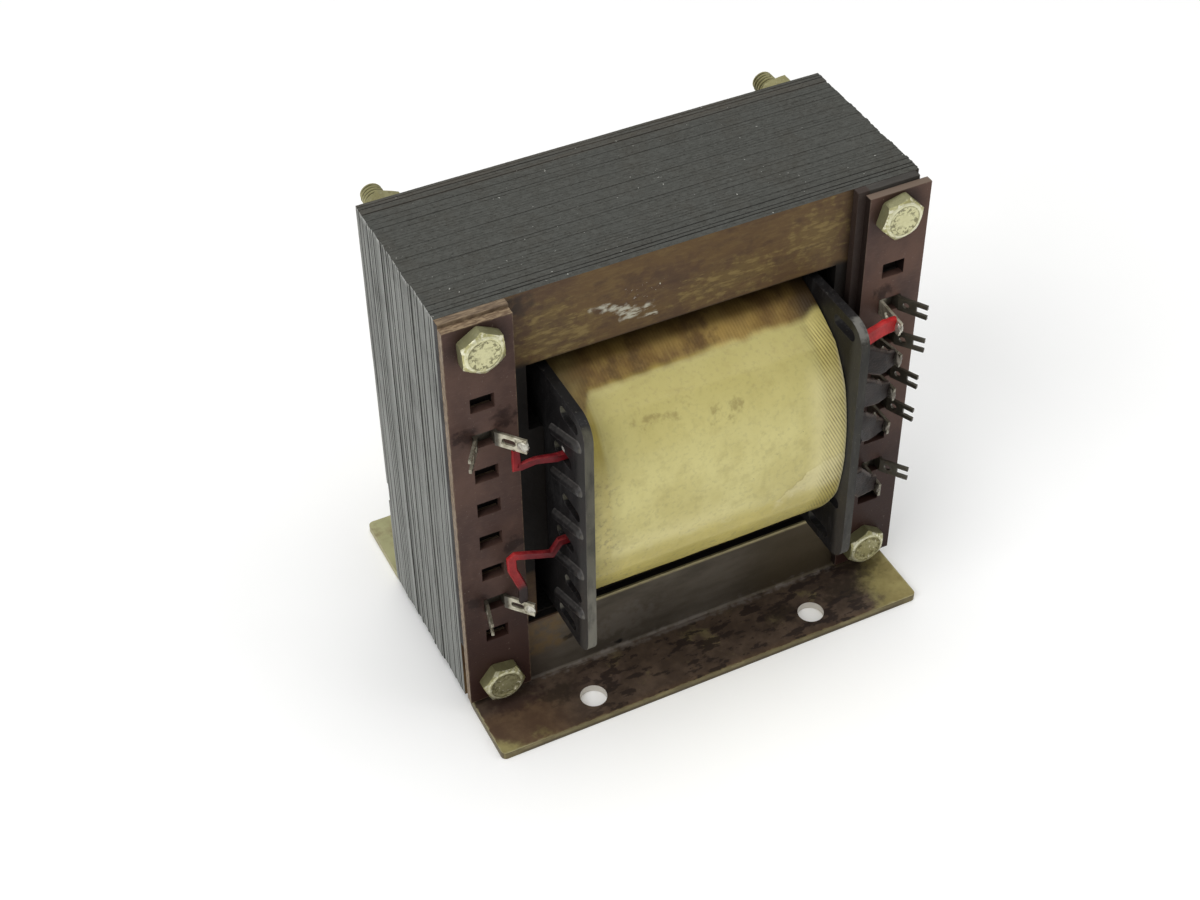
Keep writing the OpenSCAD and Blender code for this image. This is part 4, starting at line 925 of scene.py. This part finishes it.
def clamp_bolts():
    """Four hexagon bolts: a turned chamfer and ring on the head, a plain shank and a cut thread at the rear."""
    low, high = corners("clamp_bolts")
    seat, face, tip = -19.0, low.y, high.y
    shank, shank_end, thread_start = 2.0, 17.6, 17.2
    flats, corner = 3.5, 3.5 / math.cos(math.pi / 6)
    bm = bmesh.new()
    places = [(x, z) for z in reversed(BOLT_Z) for x in (-BOLT_X, BOLT_X)]
    for (x, z), turn in zip(places, (27, 46, 8, 34)):
        start = -math.radians(turn)

        def hexagon(a, start=start):
            return flats / math.cos((a - start) % (math.pi / 3) - math.pi / 6)

        depth = seat - face
        profile = [(BOLT_HOLE, seat), (corner - 0.12, seat), (corner, seat - 0.12), (corner, face + 0.62)]
        profile += [(flats + (corner - flats) * (1 - t) - 0.28 * t, face + 0.62 - 0.5 * t)
                    for t in (0.25, 0.5, 0.75, 1.0)]
        profile += [(flats - 0.42, face + 0.04), (flats - 0.62, face), (flats - 0.95, face + 0.02),
                    (flats - 1.1, face + 0.10), (flats - 1.5, face + 0.12), (1.2, face + 0.10), (0.4, face + 0.10)]
        lathe(bm, profile, start, (x, z), 72, hexagon)
        lathe(bm, [(shank, seat - depth / 3), (shank, shank_end), (1.9, 17.7)], 0.0, (x, z), 32)
        # thread: one helix of crest and root along the tail
        pitch, per_turn = 0.7, 24
        turns = int((tip - thread_start) / pitch * per_turn)
        previous = None
        shapes = ((1.62, 0.0), (1.98, 0.26), (1.98, 0.44), (1.62, 0.70))
        for i in range(turns + 1):
            a = 2 * math.pi * i / per_turn
            y = thread_start + pitch * i / per_turn
            taper = 1.0 - 0.16 * step(y, tip - 0.9, tip)
            ring = [bm.verts.new((x + r * taper * math.cos(a), min(tip, y + d), z + r * taper * math.sin(a)))
                    for r, d in shapes]
            if previous:
                for p in range(len(shapes) - 1):
                    bm.faces.new((previous[p], previous[p + 1], ring[p + 1], ring[p]))
                bm.faces.new((previous[-1], previous[0], ring[0], ring[-1]))
            else:
                bm.faces.new(ring)
            previous = ring
        bm.faces.new(list(reversed(previous)))
        lathe(bm, [(1.64, 17.0), (1.64, tip - 0.25), (1.45, tip - 0.02), (0.5, tip)], 0.0, (x, z), 32)
    bmesh.ops.recalc_face_normals(bm, faces=bm.faces)
    return place_piece(bm, "hexagon_bolts", ZINC, "zinc_bolts", "clamp_bolts", crease=28)


def sleeved_lead(node, name, route, finish, slot, seed):
    """A lead in its flattened sleeve: straight runs with folded corners, and an open mouth at the lug."""
    runs = 4
    outline = ((-1, 0.5), (-0.8, 1), (0, 0.8), (0.8, 1), (1, 0.5),
               (1, -0.5), (0.8, -1), (0, -0.8), (-0.8, -1), (-1, -0.5))
    points = [Vector(place) for place, *_ in route]
    ways = [(b - a).normalized() for a, b in zip(points, points[1:])]
    bm = bmesh.new()
    crease, inside = (bm.verts.layers.float.new(n) for n in ("sleeve_crease", "sleeve_inside"))

    def ring(place, ahead, tall, thin, within=0.0):
        up = ahead.cross(Vector((0, 1, 0))).normalized()
        across = up.cross(ahead)
        made = []
        for u, v in outline:
            crumple = 1.0 + 0.08 * noise.noise(place * 0.9 + Vector((seed * 3.7, u, v)))
            vert = bm.verts.new(place + up * (tall / 2 * u * crumple) + across * (thin / 2 * v * crumple))
            vert[crease] = float(abs(u) == 1) * (1 - within)
            vert[inside] = within
            made.append(vert)
        return made

    rings = []
    for i, (a, b) in enumerate(zip(route, route[1:])):
        bend = ways[i - 1] if i else ways[0]
        for k in range(runs):
            t = k / runs
            ahead = (bend + ways[i]).normalized() if k == 0 else ways[i]
            mitre = 1.0 / max(0.75, ahead.dot(ways[i]))
            size = [a[s] + (b[s] - a[s]) * t for s in (1, 2)]
            rings.append(ring(points[i].lerp(points[i + 1], t), ahead, size[0] * mitre, size[1]))
    place, tall, thin = points[-1], *route[-1][1:]
    rings.append(ring(place, ways[-1], tall, thin))
    rings.append(ring(place, ways[-1], tall - 0.4, thin * 0.5, 0.6))
    rings.append(ring(place - ways[-1] * 0.9, ways[-1], tall - 0.4, thin * 0.5, 1.0))
    bridge(bm, rings)
    bmesh.ops.recalc_face_normals(bm, faces=bm.faces)
    return place_piece(bm, name, finish, slot, node, crease=30)


def solder_drops(name, drops):
    """Lumps of solder on the lugs, each a rounded drop drawn out along the lug and wrinkled as it set."""
    bm = bmesh.new()
    for seed, (centre, along, size) in enumerate(drops):
        ahead = Vector(along).normalized()
        up = Vector((0, 0, 1))
        side = ahead.cross(up).normalized()
        up = side.cross(ahead)
        turn = Matrix((ahead, side, up)).transposed()
        made = bmesh.ops.create_icosphere(bm, subdivisions=3, radius=1.0)["verts"]
        for v in made:
            p = v.co.copy()
            lump = 1.0 + 0.28 * noise.noise(p * 1.6 + Vector((seed * 5.1, 0, 0)))
            lump += 0.1 * noise.noise(p * 4 + Vector((0, seed, 0)))
            v.co = Vector(centre) + turn @ Vector((p.x * size[0], p.y * size[1], p.z * size[2])) * lump
    return place_piece(bm, name, SOLDER, "tinned_metal", crease=80)


core_sheets()
coil_wrap()
clamp_bolts()
softened("coil_bobbin", "bobbin_moulding", 0.3, BLACK, "black_moulding")
for kind, finish, slot in (("terminal", BOARD, "paper_board"), ("spacer", SPACER, "spacer_board")):
    for side in ("left", "right"):
        softened(f"{side}_{kind}_strip", f"{side}_{kind}_board", 0.1, finish, slot)
for end in ("front", "rear"):
    softened(f"{end}_foot", f"{end}_angle_foot", 0.22, FOOT, "foot_steel")
softened("clamp_nuts", "hexagon_nuts", 0.15, ZINC, "zinc_bolts")
softened("rear_washers", "pressed_washers", 0.12, ZINC, "zinc_bolts")
for tag in ("left_upper", "left_lower"):
    softened(tag + "_terminal", tag + "_tag", 0.09, TIN, "tinned_metal")
for i in range(1, 6):
    softened(f"right_terminal_{i}", f"right_tag_{i}", 0.09, TIN, "tinned_metal")

# each lead's route from the winding through its slot to its lug: place, height and thickness of the sleeve
LEADS = (
    ("left_upper_lead", RED, (
        ((-23.7, -23.35, 58.7), 1.4, 1.1), ((-26.5, -23.35, 58.7), 1.4, 1.0), ((-30.1, -22.75, 59.0), 1.3, 0.8),
        ((-32.3, -22.5, 58.5), 1.5, 0.7), ((-33.09, -22.45, 58.62), 1.5, 0.7), ((-32.99, -22.05, 60.73), 1.3, 0.8),
        ((-32.99, -22.05, 61.83), 1.2, 0.8))),
    ("left_lower_lead", RED, (
        ((-23.7, -23.35, 39.9), 1.4, 1.1), ((-26.5, -23.35, 39.9), 1.4, 1.0), ((-28.0, -23.15, 37.5), 1.3, 0.9),
        ((-30.8, -22.85, 38.2), 1.4, 0.8), ((-34.3, -22.6, 39.3), 1.5, 0.8), ((-35.0, -22.6, 38.8), 1.6, 0.8),
        ((-34.9, -22.6, 36.3), 1.6, 0.8), ((-32.95, -22.02, 30.68), 1.6, 0.9), ((-32.95, -22.02, 27.38), 1.5, 1.0))),
    ("right_lead_1", RED, (
        ((23.7, -24.25, 58.7), 1.5, 1.5), ((26.5, -24.25, 58.7), 1.6, 1.4), ((29.1, -24.35, 62.5), 3.0, 1.1),
        ((33.18, -23.69, 63.01), 3.2, 1.0), ((35.57, -23.52, 63.01), 2.9, 0.9))),
    ("right_lead_2", DARK, (
        ((23.7, -21.65, 58.7), 1.5, 1.5), ((26.5, -21.65, 58.7), 1.9, 1.4), ((30.0, -23.55, 57.5), 5.0, 1.2),
        ((33.77, -23.95, 55.44), 4.8, 1.0), ((36.11, -23.45, 55.44), 3.4, 0.9))),
    ("right_lead_3", DARK, (
        ((23.7, -25.45, 49.3), 1.5, 1.5), ((26.5, -25.45, 49.3), 1.9, 1.4), ((30.0, -24.35, 50.3), 6.4, 1.2),
        ((33.32, -23.78, 48.72), 4.6, 1.0), ((35.71, -23.53, 48.72), 3.2, 0.9))),
    ("right_lead_4", DARK, (
        ((23.7, -23.95, 39.9), 1.5, 1.5), ((26.5, -23.95, 39.9), 1.9, 1.4), ((29.8, -24.35, 42.4), 7.4, 1.2),
        ((33.04, -23.58, 40.6), 4.8, 1.0), ((35.44, -23.5, 40.6), 2.4, 0.9))),
    ("right_lead_5", DARK, (
        ((23.7, -24.95, 30.5), 1.5, 1.5), ((26.5, -24.95, 30.5), 1.9, 1.4), ((30.0, -24.35, 30.2), 5.2, 1.2),
        ((32.76, -23.44, 27.04), 4.8, 1.0), ((35.16, -23.53, 27.04), 3.2, 0.9))),
)
for seed, (node, finish, route) in enumerate(LEADS):
    slot = "red_sleeve" if finish is RED else "dark_sleeve"
    sleeved_lead(node, node.replace("lead", "sleeve"), route, finish, slot, seed)

solder_drops("solder_on_lugs", (
    ((-32.09, -23.12, 63.2), (0.643, -0.766, 0), (1.15, 0.5, 1.2)),
    ((-32.1, -23.0, 26.0), (0.656, -0.755, 0), (0.9, 0.42, 1.1)),
    ((35.87, -24.13, 62.5), (0.07, -1, -0.15), (1.1, 0.55, 1.35)),
    ((36.50, -24.08, 55.37), (0.2, -1, -0.1), (0.9, 0.6, 1.4)),
    ((36.03, -24.17, 48.08), (0.1, -1, 0), (0.9, 0.6, 1.3)),
    ((35.71, -24.19, 40.55), (0.03, -1, 0), (0.7, 0.5, 1.2)),
    ((35.39, -24.19, 25.81), (-0.03, -1, 0), (0.7, 0.5, 1.1)),
))

for node, finish in (("primary_winding", WIRE), ("secondary_winding", WIRE), ("interlayer_insulation", PAPER)):
    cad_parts[node].data.materials.clear()
    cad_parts[node].data.materials.append(finish)


# Floor, light and camera


def floor():
    bm = bmesh.new()
    bmesh.ops.create_grid(bm, x_segments=8, y_segments=8, size=3.0)
    mesh = bpy.data.meshes.new("floor")
    bm.to_mesh(mesh)
    bm.free()
    mesh.materials.append(white_floor())
    made = bpy.data.objects.new("floor", mesh)
    made.location.z = -0.00005
    bpy.context.scene.collection.objects.link(made)


def soft_light(name, place, size, power, aim=(0, 0, 0.04)):
    lamp = bpy.data.lights.new(name, "AREA")
    lamp.shape, lamp.size, lamp.energy = "DISK", size, power
    made = bpy.data.objects.new(name, lamp)
    made.location = place
    made.rotation_mode = "QUATERNION"
    made.rotation_quaternion = (Vector(aim) - Vector(place)).to_track_quat("-Z", "Y")
    bpy.context.scene.collection.objects.link(made)


def light():
    sky = bpy.data.worlds.new("studio")
    bpy.context.scene.world = sky
    sky.use_nodes = True
    shade = sky.node_tree.nodes["Background"]
    shade.inputs["Color"].default_value = (1.0, 1.0, 0.99, 1.0)
    shade.inputs["Strength"].default_value = 0.42
    soft_light("left softbox", (-0.75, -0.30, 0.80), 0.7, 5.5)
    soft_light("upper softbox", (0.05, 0.10, 1.1), 0.9, 5.6)
    soft_light("right fill", (0.75, -0.45, 0.9), 0.8, 2.2)
    bpy.context.scene.view_settings.view_transform = "Standard"


def camera():
    yaw, pitch, roll = math.radians(-25.75), math.radians(42.82), math.radians(-0.79)
    ahead = Vector((-math.sin(yaw) * math.cos(pitch), math.cos(yaw) * math.cos(pitch), -math.sin(pitch)))
    right = Vector((math.cos(yaw), math.sin(yaw), 0))
    up = right.cross(ahead)
    right, up = right * math.cos(roll) + up * math.sin(roll), up * math.cos(roll) - right * math.sin(roll)
    eye = bpy.data.cameras.new("camera")
    sensor, focal_length, picture_width = 36.0, 2009.6, 1200.0  # millimetres, and pixels of the photo's frame
    eye.sensor_fit, eye.sensor_width = "HORIZONTAL", sensor
    eye.lens = focal_length * sensor / picture_width
    eye.clip_start, eye.clip_end = 0.01, 20.0
    made = bpy.data.objects.new("camera", eye)
    stand = Matrix.Translation(Vector((-120.98, -234.83, 274.64)) * MM)
    made.matrix_world = stand @ Matrix((right, up, -ahead)).transposed().to_4x4()
    bpy.context.scene.collection.objects.link(made)
    bpy.context.scene.camera = made


floor()
light()
camera()
